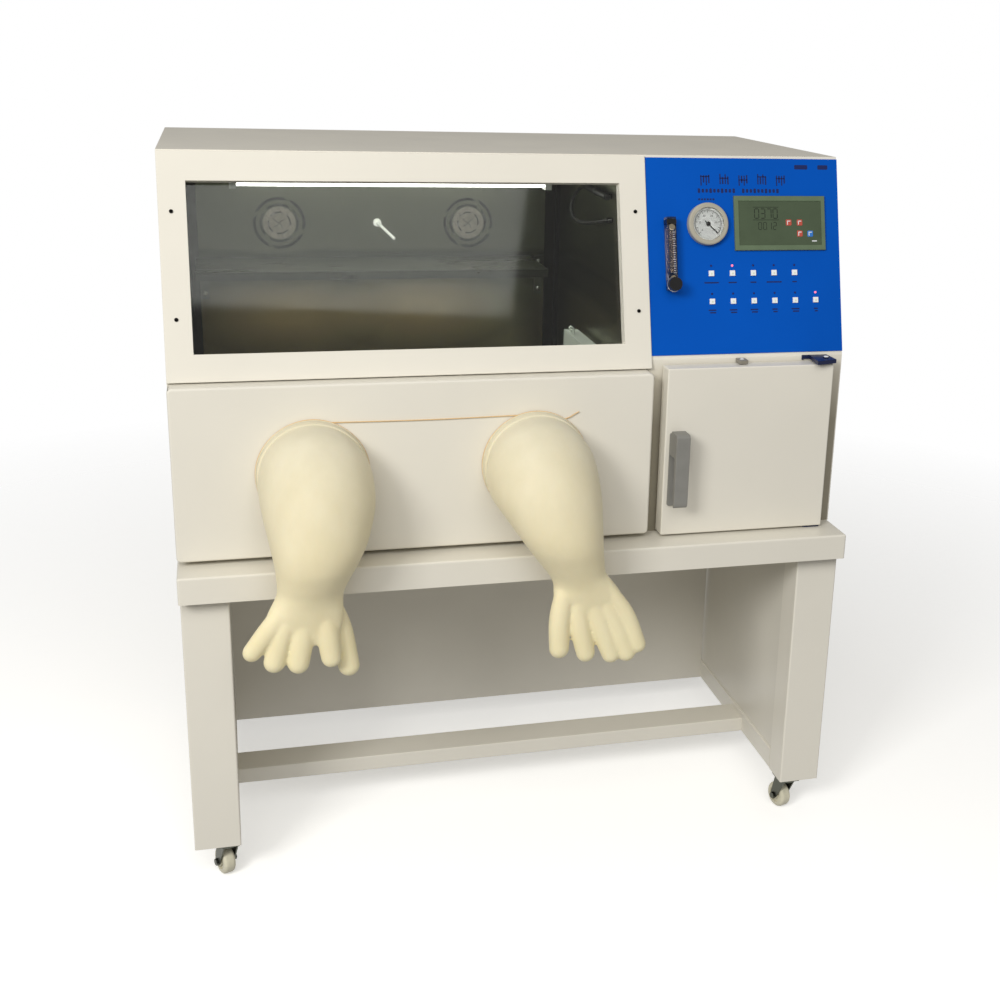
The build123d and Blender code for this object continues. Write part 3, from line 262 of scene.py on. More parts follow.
def steel(name, colour, rough=0.25, stretch=(2.0, 60.0, 240.0), drift=0.16, strength=0.05):
    """Brushed sheet: fine level grain, soft smears and uneven gloss."""
    material, tree, shader = new_material(name)
    set_shader(shader, metal=1.0)
    grain = noise(tree, coordinates(tree, stretch), 6.0, 4.0, 0.65)
    smears = noise(tree, coordinates(tree, (1.0, 1.0, 1.6)), 3.2, 4.0, 0.6)
    tone = ramp(tree, smears, [(0.32, shade(colour, 1 - drift)), (0.55, colour),
                               (0.75, shade(colour, 1 + drift))])
    link_tone(tree, shader, tone, grain, rough - 0.05, rough + 0.09)
    bump(tree, shader, grain, strength, 0.2 * MM)
    return material


def polished(name, colour, rough=0.14):
    """Turned or plated metal with faint turning marks and handling smudges."""
    material, tree, shader = new_material(name)
    set_shader(shader, metal=1.0)
    smudges = noise(tree, coordinates(tree), 70.0, 4.0, 0.6)
    tone = ramp(tree, smudges, [(0.3, shade(colour, 0.84)), (0.6, colour)])
    link_tone(tree, shader, tone, smudges, rough - 0.05, rough + 0.12)
    bump(tree, shader, noise(tree, coordinates(tree), 900.0, 2.0), 0.06, 0.1 * MM)
    return material


def plastic(name, colour, rough=0.45, grain=300.0, strength=0.12, drift=0.05):
    """Moulded plastic with spark-eroded grain."""
    material, tree, shader = new_material(name)
    set_shader(shader, spec=0.5)
    place = coordinates(tree)
    clouds = noise(tree, place, 30.0, 4.0, 0.55)
    tone = ramp(tree, clouds, [(0.32, shade(colour, 1 - drift)), (0.6, shade(colour, 1 + drift))])
    link_tone(tree, shader, tone, clouds, rough - 0.05, rough + 0.08)
    bump(tree, shader, noise(tree, place, grain, 3.0, 0.6), strength, 0.15 * MM)
    return material


def glowing(name, colour, strength, rough=0.3):
    """A lit surface, slightly uneven."""
    material, tree, shader = new_material(name)
    set_shader(shader, color=shade(colour, 0.8), rough=rough, glow_strength=strength)
    clouds = noise(tree, coordinates(tree), 40.0, 2.0)
    tone = ramp(tree, clouds, [(0.2, shade(colour, 0.92)), (0.8, colour)])
    tree.links.new(tone, shader.inputs["Emission Color"])
    return material


def clear(name, colour, rough=0.02, ior=1.47):
    """Glass or clear acrylic with faint wiping marks in its gloss."""
    material, tree, shader = new_material(name)
    set_shader(shader, color=colour, transmission=1.0, ior=ior)
    wipes = noise(tree, coordinates(tree, (1.0, 1.0, 3.0)), 9.0, 5.0, 0.6, 0.6)
    tree.links.new(spread(tree, wipes, rough, rough + 0.03), shader.inputs["Roughness"])
    return material


# ---- Materials ----
CREAM = (0.80, 0.770, 0.685)
cream = paint("cream_powder_coat", CREAM)
cream_sheet = paint("cream_thin_sheet", shade(CREAM, 0.93), 0.42, 0.08, 0.05)
blue = paint("blue_panel_face", (0.0015, 0.088, 0.49), 0.40, 0.06, 0.08, 0.08, 0.0)
print_ink = plastic("panel_print", (0.008, 0.018, 0.11), 0.4, 500.0, 0.05)
probe_steel = plastic("probe_steel", (0.82, 0.82, 0.76), 0.3, 600.0, 0.03)
spoke_dark = plastic("grille_spokes", (0.030, 0.028, 0.020), 0.5)
bright = polished("bright_screw", (0.90, 0.90, 0.88))
dark_screw = polished("dark_screw", (0.035, 0.034, 0.032), 0.35)
bezel_metal = plastic("gauge_bezel", (0.42, 0.40, 0.33), 0.35, 700.0, 0.03)
brass = polished("nickelled_brass", (0.78, 0.68, 0.50), 0.2)
fork_steel = polished("fork_steel", (0.11, 0.115, 0.095), 0.35)
fan_dark = plastic("fan_blades", (0.05, 0.045, 0.04), 0.5)
grille_disc = steel("motor_case", (0.34, 0.31, 0.29), 0.35)
handle_grey = plastic("handle_grey", (0.235, 0.232, 0.215), 0.5, 420.0, 0.15)
black = plastic("black_plastic", (0.012, 0.012, 0.013), 0.24, 500.0, 0.05)
cable_black = plastic("cable_sheath", (0.02, 0.02, 0.02), 0.5)
seal = plastic("foam_seal", (0.03, 0.03, 0.028), 0.85, 700.0, 0.5)
ring_cream = plastic("port_ring", (0.62, 0.59, 0.50), 0.5)
inner_paint = paint("inner_door_paint", (0.55, 0.58, 0.51), 0.4)
white_plastic = plastic("button_white", (0.88, 0.90, 0.92), 0.22, 600.0, 0.04, 0.02)
button_mark = plastic("button_mark", (0.68, 0.74, 0.60), 0.3)
wheel_cream = plastic("wheel_nylon", (0.66, 0.63, 0.49), 0.42, 260.0, 0.12, 0.10)
lamp_white = plastic("batten_white", (0.86, 0.86, 0.83), 0.35)
screw_white = plastic("screw_white", (0.86, 0.87, 0.86), 0.3)
lamp_glow = glowing("lamp_glow", (1.0, 0.99, 0.94), 5.0)
lit_red = glowing("indicator_lit", (1.0, 0.16, 0.22), 1.6)
unlit = plastic("indicator_dark", (0.012, 0.02, 0.13), 0.25)
dial_white = plastic("dial_face", (0.90, 0.92, 0.92), 0.5, 500.0, 0.03, 0.02)
needle_black = plastic("needle_black", (0.01, 0.01, 0.011), 0.4)
frame_green = plastic("controller_frame", (0.125, 0.175, 0.105), 0.45, 420.0, 0.12)
screen_green = plastic("controller_screen", (0.070, 0.098, 0.057), 0.5, 600.0, 0.03)
segment_dark = plastic("display_segment", (0.012, 0.017, 0.012), 0.3)
key_red = plastic("key_red", (0.50, 0.085, 0.06), 0.4)
key_blue = plastic("key_blue", (0.04, 0.20, 0.62), 0.35)
key_white = plastic("key_white", (0.75, 0.78, 0.80), 0.35)
window_clear = clear("window_glass", (0.90, 0.94, 0.90))
acrylic = clear("flowmeter_acrylic", (0.45, 0.40, 0.35), 0.06, 1.49)
lens_clear = clear("gauge_lens", (0.97, 0.98, 0.97))


def latex():
    """Dusted natural latex: warmer and yellower towards the fingers, and brighter there as painted light."""
    material, tree, shader = new_material("glove_latex")
    set_shader(shader, spec=0.30, subsurface=0.10, radius=(1.0, 0.72, 0.38), sub_scale=0.006,
               sheen=0.12, sheen_rough=0.5)
    fade = spread(tree, object_axes(tree)["Z"], 0.0, 1.0, 0.45, 0.86)
    # Painted light: the hue brightens towards the fingers, lifting the lower glove that the light from above
    # leaves darker; the warmer, yellower tone there is the latex's own.
    hue_and_painted_light = ramp(tree, fade, [(0.0, (0.97, 0.88, 0.58)), (0.45, (0.90, 0.81, 0.55)),
                            (1.0, (0.77, 0.72, 0.56))])
    clouds = noise(tree, coordinates(tree, (1.0, 1.0, 0.6)), 16.0, 4.0, 0.55)
    dust = ramp(tree, clouds, [(0.30, (0.93, 0.92, 0.88)), (0.70, (1.0, 1.0, 1.0))])
    link_tone(tree, shader, mixed(tree, 1.0, hue_and_painted_light, dust, "MULTIPLY"), clouds, 0.50, 0.64)
    folds = noise(tree, coordinates(tree, (1.0, 1.0, 0.25)), 42.0, 5.0, 0.6)
    under = bump(tree, shader, folds, 0.22, 2.0 * MM)
    bump(tree, shader, noise(tree, coordinates(tree), 800.0, 2.0), 0.05, 0.1 * MM, under)
    return material


# The middles of the painted warm reflections under the shelf.
WARM_REFLECTIONS = ((-0.379, 0.918), (-0.104, 0.926))    # X and Z on the back wall
GRILLE_DISC = 32.5 * MM


def chamber_sheet():
    """Smooth stainless: dull olive, a painted reflection of the shelf's shadow as a dark band over the
    shelf, a painted warm reflection that grows towards the bottom, with warm patches under the shelf, and
    the motor cases' colour inside each grille. Behind the baffle it is painted near black as shade."""
    material, tree, shader = new_material("chamber_sheet")
    set_shader(shader, metal=1.0)
    axes = object_axes(tree)
    clouds = noise(tree, coordinates(tree, (1.0, 1.0, 2.2)), 3.0, 3.0, 0.5)
    tone = ramp(tree, clouds, [(0.30, (0.130, 0.137, 0.092)), (0.70, (0.165, 0.169, 0.116))])
    # Painted reflection: a warm tone mixed in below 1.00 m, up to about a third of it at 0.80 m and below.
    low = spread(tree, axes["Z"], 0.35, 0.0, 0.80, 1.00)
    tone = mixed(tree, low, tone, (0.86, 0.72, 0.44))
    # Painted reflections: two warm patches on the back wall under the shelf.
    for centre in WARM_REFLECTIONS:
        patch = spread(tree, spot(tree, centre, (0.20, 0.085)), 0.0, 0.75, 0.0, 0.8)
        tone = mixed(tree, patch, tone, (0.98, 0.80, 0.48))
    # Painted reflection of the shelf's shadow: a dark band over the shelf, with a wavy edge.
    lift = tree.nodes.new("ShaderNodeMath")
    lift.operation = "MULTIPLY_ADD"
    tree.links.new(noise(tree, coordinates(tree, (1.0, 0.0, 0.0)), 4.0, 1.0, 0.3), lift.inputs[0])
    lift.inputs[1].default_value = -0.045
    tree.links.new(axes["Z"], lift.inputs[2])
    level = spread(tree, lift.outputs["Value"], 0.0, 1.0, 0.78, 1.18)
    painted_shadow_band = ramp(tree, level, [(0.0, (1, 1, 1)), (0.43, (1, 1, 1)), (0.49, (0.42, 0.43, 0.40)),
                              (0.605, (0.40, 0.42, 0.38)), (0.635, (1, 1, 1)), (1.0, (1, 1, 1))])
    tone = mixed(tree, 1.0, tone, painted_shadow_band, "MULTIPLY")
    for x in GRILLE_X:
        inside = spread(tree, spot(tree, (x, GRILLE_Z), (GRILLE_DISC, GRILLE_DISC)), 0.0, 1.0, 0.0, 0.03)
        ripple = ramp(tree, noise(tree, coordinates(tree, (1.0, 1.0, 1.0)), 60.0, 3.0, 0.6, 1.5),
                      [(0.35, (0.36, 0.32, 0.27)), (0.65, (0.50, 0.45, 0.39))])
        tone = mixed(tree, inside, tone, ripple)
    # Painted shade: the sheet behind the baffle is painted near black.
    behind = spread(tree, axes["Y"], 0.0, 1.0, 0.3084, 0.3092)
    tone = mixed(tree, behind, tone, (0.006, 0.006, 0.004))
    grain = noise(tree, coordinates(tree, (1.0, 12.0, 40.0)), 5.0, 3.0, 0.5)
    link_tone(tree, shader, tone, grain, 0.29, 0.32)
    bump(tree, shader, grain, 0.003, 0.2 * MM)
    return material


def shelf_sheet():
    """The shelf, one steel in three tones by height that are painted light and shade: a dull upper face, a
    folded lip painted dark as shade and dull cleats below it.
    """
    material, tree, shader = new_material("shelf_sheet")
    set_shader(shader, metal=0.7)
    level = spread(tree, object_axes(tree)["Z"], 0.0, 1.0, 1.000, 1.040)
    # Painted light and shade: one steel darkened by height, darkest over the folded lip.
    tone = ramp(tree, level, [(0.42, (0.17, 0.175, 0.130)), (0.47, (0.030, 0.032, 0.021)),
                              (0.84, (0.036, 0.038, 0.025)), (0.88, (0.060, 0.064, 0.046))])
    drifts = noise(tree, coordinates(tree, (1.0, 3.0, 3.0)), 6.0, 4.0, 0.6)
    uneven = ramp(tree, drifts, [(0.3, (0.8, 0.8, 0.8)), (0.7, (1, 1, 1))])
    tone = mixed(tree, 1.0, tone, uneven, "MULTIPLY")
    link_tone(tree, shader, tone, drifts, 0.24, 0.36)
    bump(tree, shader, drifts, 0.02, 0.2 * MM)
    return material


def elastic():
    """Twisted elastic: slanting strands in two warm tones."""
    material, tree, shader = new_material("tie_elastic")
    set_shader(shader, rough=0.75, sheen=0.3)
    wave = tree.nodes.new("ShaderNodeTexWave")
    wave.inputs["Scale"].default_value = 190.0
    wave.inputs["Distortion"].default_value = 1.5
    tree.links.new(coordinates(tree, (1.0, 1.0, 1.3), (0.0, 0.6, 0.0)), wave.inputs["Vector"])
    tone = ramp(tree, wave.outputs["Fac"], [(0.3, (0.66, 0.36, 0.12)), (0.7, (0.86, 0.68, 0.38))])
    tree.links.new(tone, shader.inputs["Base Color"])
    bump(tree, shader, wave.outputs["Fac"], 0.4, 0.3 * MM)
    return material


def fading(name, axis, low, high, stops):
    """Paint whose tone changes along one axis, under the same orange peel."""
    material = paint(name, CREAM)
    tree = material.node_tree
    shader = tree.nodes["Principled BSDF"]
    base = shader.inputs["Base Color"].links[0].from_socket
    level = spread(tree, object_axes(tree)[axis], 0.0, 1.0, low, high)
    tone = mixed(tree, 1.0, base, ramp(tree, level, stops), "MULTIPLY")
    tree.links.new(tone, shader.inputs["Base Color"])
    return material


# Painted shade: below about 0.93 m the fascia is darkened, to little over a third of its tone from 0.80 m
# down, standing in for the shade in the strips beside the raised glove panel and door.
fascia_painted_shade = fading("cream_fascia_painted_shade", "Z", 0.60, 0.94,
                      [(0.0, (0.36, 0.34, 0.29)), (0.60, (0.42, 0.40, 0.35)), (0.86, (0.75, 0.73, 0.69)),
                       (0.97, (1.0, 1.0, 1.0))])
navy = fading("hinge_navy", "X", 0.40, 0.50, [(0.30, (0.30, 0.29, 0.27)), (0.40, (0.010, 0.018, 0.085))])
glove_skin = latex()
MOTOR_R = 22 * MM
motor_low, motor_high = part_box("fan_motors")
GRILLE_X = (motor_low.x + MOTOR_R, motor_high.x - MOTOR_R)
GRILLE_Z = (motor_low.z + motor_high.z) / 2
chamber_steel = chamber_sheet()
shelf_steel = shelf_sheet()
string_tone = elastic()

CORNERS = ("fl", "fr", "rl", "rr")
NODE_MATERIALS = {
    cream: ["casing_shell", "casing_rear", "window_frame", "glove_panel", "airlock_door", "stand_top",
            "stand_frame"],
    fascia_painted_shade: ["front_fascia"],
    cream_sheet: ["stand_sheets"],
    blue: ["control_panel"],
    chamber_steel: ["chamber_liner", "fan_baffle", "airlock_box"],
    shelf_steel: ["shelf"],
    bright: ["heater", "flow_float"],
    probe_steel: ["temperature_probe"],
    dark_screw: ["window_screws"],
    grille_disc: ["fan_motors"],
    fan_dark: ["fan_left", "fan_right"],
    window_clear: ["window_glass"],
    acrylic: ["flowmeter_body"],
    ring_cream: ["port_rings"],
    handle_grey: ["handle_base", "handle_lever"],
    navy: ["door_hinges"],
    seal: ["door_gasket"],
    inner_paint: ["inner_door"],
    lamp_white: ["lamp"],
    fork_steel: ["caster_plates"] + [f"caster_fork_{k}" for k in CORNERS],
    wheel_cream: [f"caster_wheel_{k}" for k in CORNERS],
    white_plastic: [f"button_{i}" for i in range(1, 12)],
    bezel_metal: ["vacuum_gauge"],
    needle_black: ["gauge_needle"],
    black: ["flow_knob"],
    frame_green: ["controller"],
    brass: ["rear_connectors"],
}


def dress(obj, material):
    obj.data.materials.clear()
    obj.data.materials.append(material)


def smooth_by_angle(obj, degrees=35.0):
    """Smooth faces with sharp edges kept where they turn more than an angle."""
    mesh = obj.data
    for polygon in mesh.polygons:
        polygon.use_smooth = True
    bm = bmesh.new()
    bm.from_mesh(mesh)
    limit = math.radians(degrees)
    for edge in bm.edges:
        edge.smooth = len(edge.link_faces) == 2 and edge.calc_face_angle(math.pi) < limit
    bm.to_mesh(mesh)
    bm.free()


for material, names in NODE_MATERIALS.items():
    for node in names:
        dress(nodes[node], material)


# ---- Mesh helpers ----
def mesh_object(name, bm, material):
    bmesh.ops.recalc_face_normals(bm, faces=bm.faces)
    mesh = bpy.data.meshes.new(name)
    bm.to_mesh(mesh)
    bm.free()
    obj = bpy.data.objects.new(name, mesh)
    scene.collection.objects.link(obj)
    mesh.materials.append(material)
    return obj


def finish_piece(name, bm, material, body="cabinet", smooth=True):
    """Turns a bmesh into a piece that rides on a body."""
    obj = mesh_object(name, bm, material)
    if smooth:
        smooth_by_angle(obj)
    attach(obj, body)
    return obj


def bridge(bm, rings, close=False):
    """Skins a list of equal vertex rings, and caps both ends."""
    pairs = list(zip(rings, rings[1:]))
    if close:
        pairs.append((rings[-1], rings[0]))
    for lower, upper in pairs:
        count = len(lower)
        for i in range(count):
            j = (i + 1) % count
            bm.faces.new((lower[i], lower[j], upper[j], upper[i]))
    if not close:
        bm.faces.new(list(reversed(rings[0])))
        bm.faces.new(rings[-1])


def turned(bm, origin, axis, profile, count=48):
    """A turned solid: profile is (mm along the axis, radius in mm) from one end to the other."""
    side = axis.orthogonal().normalized()
    across = axis.cross(side)
    rings = []
    for along, radius in profile:
        centre = origin + axis * (along * MM)
        ring = []
        for i in range(count):
            angle = 2 * math.pi * i / count
            offset = (side * math.cos(angle) + across * math.sin(angle)) * (radius * MM)
            ring.append(bm.verts.new(centre + offset))
        rings.append(ring)
    bridge(bm, rings)


def rounded_outline(width, height, radius, steps=6):
    """Points round a rounded rectangle, centred on zero."""
    points = []
    corners = ((1, 1, 0), (-1, 1, 90), (-1, -1, 180), (1, -1, 270))
    for sx, sy, start in corners:
        cx = sx * (width / 2 - radius)
        cy = sy * (height / 2 - radius)
        for step in range(steps + 1):
            angle = math.radians(start + 90.0 * step / steps)
            points.append((cx + radius * math.cos(angle), cy + radius * math.sin(angle)))
    return points


def slope_plate(bm, x, s, width, height, low, high, radius, edge=0.0):
    """A rounded plate on the sloping front, in mm, with an eased front edge."""
    levels = [(low, 0.0), (high - edge, 0.0), (high, edge)] if edge else [(low, 0.0), (high, 0.0)]
    rings = []
    for level, inset in levels:
        outline = rounded_outline(width - 2 * inset, height - 2 * inset, max(radius - inset, 0.05))
        rings.append([bm.verts.new(on_slope(x + dx, s + ds, level)) for dx, ds in outline])
    bridge(bm, rings)


def curve_tube(name, points, radius, material, body="cabinet"):
    """A round tube along one smooth spline."""
    curve = bpy.data.curves.new(name, "CURVE")
    curve.dimensions = "3D"
    curve.bevel_depth = radius
    curve.bevel_resolution = 5
    curve.resolution_u = 10
    curve.use_fill_caps = True
    spline = curve.splines.new("NURBS")
    spline.points.add(len(points) - 1)
    for control, point in zip(spline.points, points):
        control.co = (*point, 1.0)
    spline.order_u = 3
    spline.use_endpoint_u = True
    obj = bpy.data.objects.new(name, curve)
    scene.collection.objects.link(obj)
    curve.materials.append(material)
    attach(obj, body)
    return obj


# ---- Gloves ----
panel_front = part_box("glove_panel")[0].y
ring_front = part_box("port_rings")[0].y
PORT_Z = middle("port_rings").z
PORT_RING_R = 97 * MM
PORT_LEFT_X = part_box("port_rings")[0].x + PORT_RING_R
PORT_RIGHT_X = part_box("port_rings")[1].x - PORT_RING_R
CUFF_R = 93.0 * MM
# The drawn-back cuff: share of the way to the panel, and mm beyond the cuff's radius.
CUFF_PROFILE = ((0.0, -0.4), (0.12, 0.2), (0.5, 0.3), (0.9, 0.1), (1.0, 0.9), (1.02, 1.7),
                (0.92, 1.9), (0.86, 0.6))


def catmull(a, b, c, d, t):
    """The value at t between b and c on a smooth curve through four values."""
    bend = 2 * a - 5 * b + 4 * c - d
    return 0.5 * (2 * b + (c - a) * t + bend * t * t + (3 * b - a - 3 * c + d) * t ** 3)


def smooth_stations(stations, steps):
    """Fills in between stations, each a tuple of numbers, along smooth curves."""
    filled = []
    last = len(stations) - 1
    for i in range(last):
        before, here = stations[max(i - 1, 0)], stations[i]
        there, after = stations[i + 1], stations[min(i + 2, last)]
        for step in range(steps):
            t = step / steps
            filled.append(tuple(catmull(a, b, c, d, t) for a, b, c, d in zip(before, here, there, after)))
    filled.append(stations[-1])
    return filled


def sleeve(bm, stations, count=64):
    """The forearm: rings (x, y, z, half width, half depth, tilt from level to hanging)."""
    rings = []
    for x, y, z, wide, deep, tilt in smooth_stations(stations, 7):
        lean = math.radians(tilt)
        up = Vector((0.0, -math.sin(lean), math.cos(lean)))
        ring = []
        for i in range(count):
            angle = 2 * math.pi * i / count
            offset = X * math.cos(angle) * wide + up * math.sin(angle) * deep
            ring.append(bm.verts.new(Vector((x, y, z)) + offset))
        rings.append(ring)
    bridge(bm, rings)


def finger(bm, joints_at, count=20):
    """A tapered finger with a round tip: points (x, y, z, radius)."""
    path = smooth_stations(joints_at, 6)
    tip = Vector(path[-1][:3])
    heading = (tip - Vector(path[-2][:3])).normalized()
    radius = path[-1][3]
    for step in range(1, 6):
        angle = math.radians(90.0 * step / 6)
        point = tip + heading * radius * math.sin(angle)
        path.append((*point, radius * math.cos(angle)))
    path.append((*(tip + heading * radius * 0.995), radius * 0.08))
    rings = []
    for i, (x, y, z, r) in enumerate(path):
        here = Vector((x, y, z))
        ahead = Vector(path[min(i + 1, len(path) - 1)][:3])
        behind = Vector(path[max(i - 1, 0)][:3])
        along = (ahead - behind).normalized()
        side = along.cross(Vector((0, 1, 0))).normalized()
        across = along.cross(side)
        ring = []
        for k in range(count):
            angle = 2 * math.pi * k / count
            offset = (side * math.cos(angle) + across * math.sin(angle) * 0.9) * r
            ring.append(bm.verts.new(here + offset))
        rings.append(ring)
    bridge(bm, rings)


def apply_modifiers(obj):
    graph = bpy.context.evaluated_depsgraph_get()
    mesh = bpy.data.meshes.new_from_object(obj.evaluated_get(graph))
    obj.modifiers.clear()
    obj.data = mesh


def glove(name, port_x, arm, fingers, node):
    """One latex glove: a swollen forearm, the hand and five fingers in one skin."""
    bm = bmesh.new()
    sleeve(bm, arm)
    for joints_at in fingers:
        finger(bm, joints_at)
    obj = mesh_object(name, bm, glove_skin)
    remesh = obj.modifiers.new("remesh", "REMESH")
    remesh.mode = "VOXEL"
    remesh.voxel_size = 2.6 * MM
    ease = obj.modifiers.new("ease", "SMOOTH")
    ease.factor = 0.6
    ease.iterations = 8
    apply_modifiers(obj)
    trim_glove(obj.data, port_x)
    finer = obj.modifiers.new("finer", "SUBSURF")
    finer.levels = 1
    finer.render_levels = 1
    apply_modifiers(obj)
    for polygon in obj.data.polygons:
        polygon.use_smooth = True
    dress(obj, glove_skin)
    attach(obj, "cabinet")
    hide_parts(node, "glove_cuffs")


def trim_glove(mesh, port_x):
    """Opens the glove's mouth and draws the skin back over the port ring to a rolled bead."""
    cut = ring_front - 3.0 * MM
    bm = bmesh.new()
    bm.from_mesh(mesh)
    geometry = bm.verts[:] + bm.edges[:] + bm.faces[:]
    bmesh.ops.bisect_plane(bm, geom=geometry, plane_co=(0, cut, 0), plane_no=(0, 1, 0), clear_outer=True)
    rim = [e for e in bm.edges if e.is_boundary]
    end = panel_front - 3.2 * MM
    for share, rise in CUFF_PROFILE:
        made = bmesh.ops.extrude_edge_only(bm, edges=rim)["geom"]
        verts = [g for g in made if isinstance(g, bmesh.types.BMVert)]
        rim = [g for g in made if isinstance(g, bmesh.types.BMEdge) and g.is_boundary]
        for vert in verts:
            away = Vector((vert.co.x - port_x, 0.0, vert.co.z - PORT_Z)).normalized()
            radius = CUFF_R + rise * MM
            vert.co = Vector((port_x, cut + (end - cut) * share, PORT_Z)) + away * radius
    bmesh.ops.recalc_face_normals(bm, faces=bm.faces)
    bm.to_mesh(mesh)
    bm.free()


HANG_Y = -0.369                     # a glove's middle, where it hangs clear of the table's edge
# The lower forearm's stations: mm behind HANG_Y, and tilt from level to hanging.
FALL = ((11, 80), (0, 87), (0, 90), (0, 90), (-1, 90), (-3, 90), (-4, 90), (-6, 90), (-8, 90), (-8, 90))


def forearm(port_x, lean, swell, lower):
    """Stations from the port ring over the swell and down; lower has (x, z, half width, half depth)."""
    stations = [
        (port_x, ring_front + 12 * MM, PORT_Z, 0.0900, 0.0900, 0),
        (port_x, ring_front - 3 * MM, PORT_Z, 0.0905, 0.0905, 4),
        (port_x + lean[0] * MM, ring_front - 28 * MM, PORT_Z - 6 * MM, swell, swell - 0.0005, 26),
        (port_x + lean[1] * MM, HANG_Y + 34 * MM, PORT_Z - 40 * MM, 0.0915, 0.0880, 58),
    ]
    for (behind, tilt), (x, z, wide, deep) in zip(FALL, lower):
        stations.append((x, HANG_Y + behind * MM, z, wide, deep, tilt))
    return stations


def spaced(points, behind=(-8, -8, -8, -8)):
    """A finger's points (x, z, radius), each so many mm behind HANG_Y."""
    return [(x, HANG_Y + mm * MM, z, r) for (x, z, r), mm in zip(points, behind)]


def make_gloves():
    arm = forearm(PORT_LEFT_X, (2, 3), 0.0945, [
        (-0.3715, 0.672, 0.0795, 0.0740), (-0.3770, 0.640, 0.0680, 0.0600), (-0.3835, 0.612, 0.0590, 0.0480),
        (-0.3885, 0.590, 0.0545, 0.0380), (-0.3935, 0.572, 0.0580, 0.0310), (-0.3975, 0.557, 0.0620, 0.0255),
        (-0.3985, 0.546, 0.0620, 0.0222), (-0.3985, 0.530, 0.0590, 0.0165), (-0.3975, 0.513, 0.0520, 0.0105),
        (-0.3960, 0.500, 0.0400, 0.0055),
    ])
    fingers = [
        spaced([(-0.428, 0.578, 0.0140), (-0.4405, 0.555, 0.0160), (-0.4600, 0.5285, 0.0172),
                (-0.4860, 0.4943, 0.0158)]),
        spaced([(-0.412, 0.580, 0.0140), (-0.4200, 0.562, 0.0165), (-0.4368, 0.5214, 0.0185),
                (-0.4507, 0.4738, 0.0180)]),
        spaced([(-0.397, 0.580, 0.0140), (-0.4005, 0.561, 0.0168), (-0.4053, 0.5152, 0.0200),
                (-0.4120, 0.4688, 0.0182)]),
        spaced([(-0.381, 0.580, 0.0140), (-0.3735, 0.560, 0.0165), (-0.3639, 0.5219, 0.0192),
                (-0.3582, 0.4746, 0.0172)]),
        spaced([(-0.366, 0.588, 0.0150), (-0.3550, 0.562, 0.0170), (-0.3400, 0.5120, 0.0200),
                (-0.3275, 0.4450, 0.0185)], (4, 12, 18, 18)),
        # The web of skin between the last two fingers.
        spaced([(-0.385, 0.565, 0.0160), (-0.3835, 0.535, 0.0180), (-0.3830, 0.515, 0.0170),
                (-0.3825, 0.505, 0.0150)], (0, 6, 10, 10)),
    ]
    glove("glove_left_skin", PORT_LEFT_X, arm, fingers, "glove_left")
    arm = forearm(PORT_RIGHT_X, (1, 7), 0.0955, [
        (0.0300, 0.676, 0.0775, 0.0730), (0.0405, 0.645, 0.0665, 0.0600), (0.0530, 0.615, 0.0572, 0.0480),
        (0.0645, 0.590, 0.0500, 0.0380), (0.0745, 0.572, 0.0530, 0.0310), (0.0800, 0.557, 0.0590, 0.0255),
        (0.0845, 0.546, 0.0590, 0.0222), (0.0890, 0.530, 0.0570, 0.0165), (0.0935, 0.513, 0.0500, 0.0105),
        (0.0960, 0.500, 0.0400, 0.0055),
    ])
    fingers = [
        spaced([(0.0500, 0.582, 0.0150), (0.0400, 0.560, 0.0172), (0.0320, 0.5092, 0.0188),
                (0.0325, 0.4552, 0.0178)], (0, -8, -8, -8)),
        spaced([(0.0610, 0.580, 0.0140), (0.0600, 0.560, 0.0165), (0.0671, 0.5025, 0.0186),
                (0.0804, 0.4432, 0.0170)]),
        spaced([(0.0740, 0.580, 0.0140), (0.0790, 0.561, 0.0165), (0.1013, 0.5034, 0.0188),
                (0.1265, 0.4370, 0.0168)]),
        spaced([(0.0880, 0.580, 0.0140), (0.0965, 0.560, 0.0162), (0.1267, 0.5051, 0.0180),
                (0.1552, 0.4373, 0.0168)]),
        spaced([(0.1010, 0.582, 0.0140), (0.1140, 0.561, 0.0160), (0.1502, 0.5107, 0.0170),
                (0.1755, 0.4510, 0.0156)]),
    ]
    glove("glove_right_skin", PORT_RIGHT_X, arm, fingers, "glove_right")


make_gloves()


# ---- Tie string ----
STRING_R = 0.8 * MM
STRING_LOOP_R = CUFF_R + 1.6 * MM
STRING_Y = panel_front - 2.2 * MM


def string_ring(name, port_x):
    """The elastic's turn round a cuff, close to the panel."""
    count = 96
    bm = bmesh.new()
    rings = []
    for i in range(count):
        angle = 2 * math.pi * i / count
        wobble = 0.3 * MM * math.sin(5 * angle)
        outward = Vector((math.cos(angle), 0.0, math.sin(angle)))
        centre = Vector((port_x, STRING_Y, PORT_Z)) + outward * (STRING_LOOP_R + wobble)
        ring = []
        for k in range(8):
            turn = 2 * math.pi * k / 8
            away = outward * math.cos(turn) + Vector((0, math.sin(turn), 0))
            ring.append(bm.verts.new(centre + away * STRING_R))
        rings.append(ring)
    bridge(bm, rings, close=True)
    return finish_piece(name, bm, string_tone)


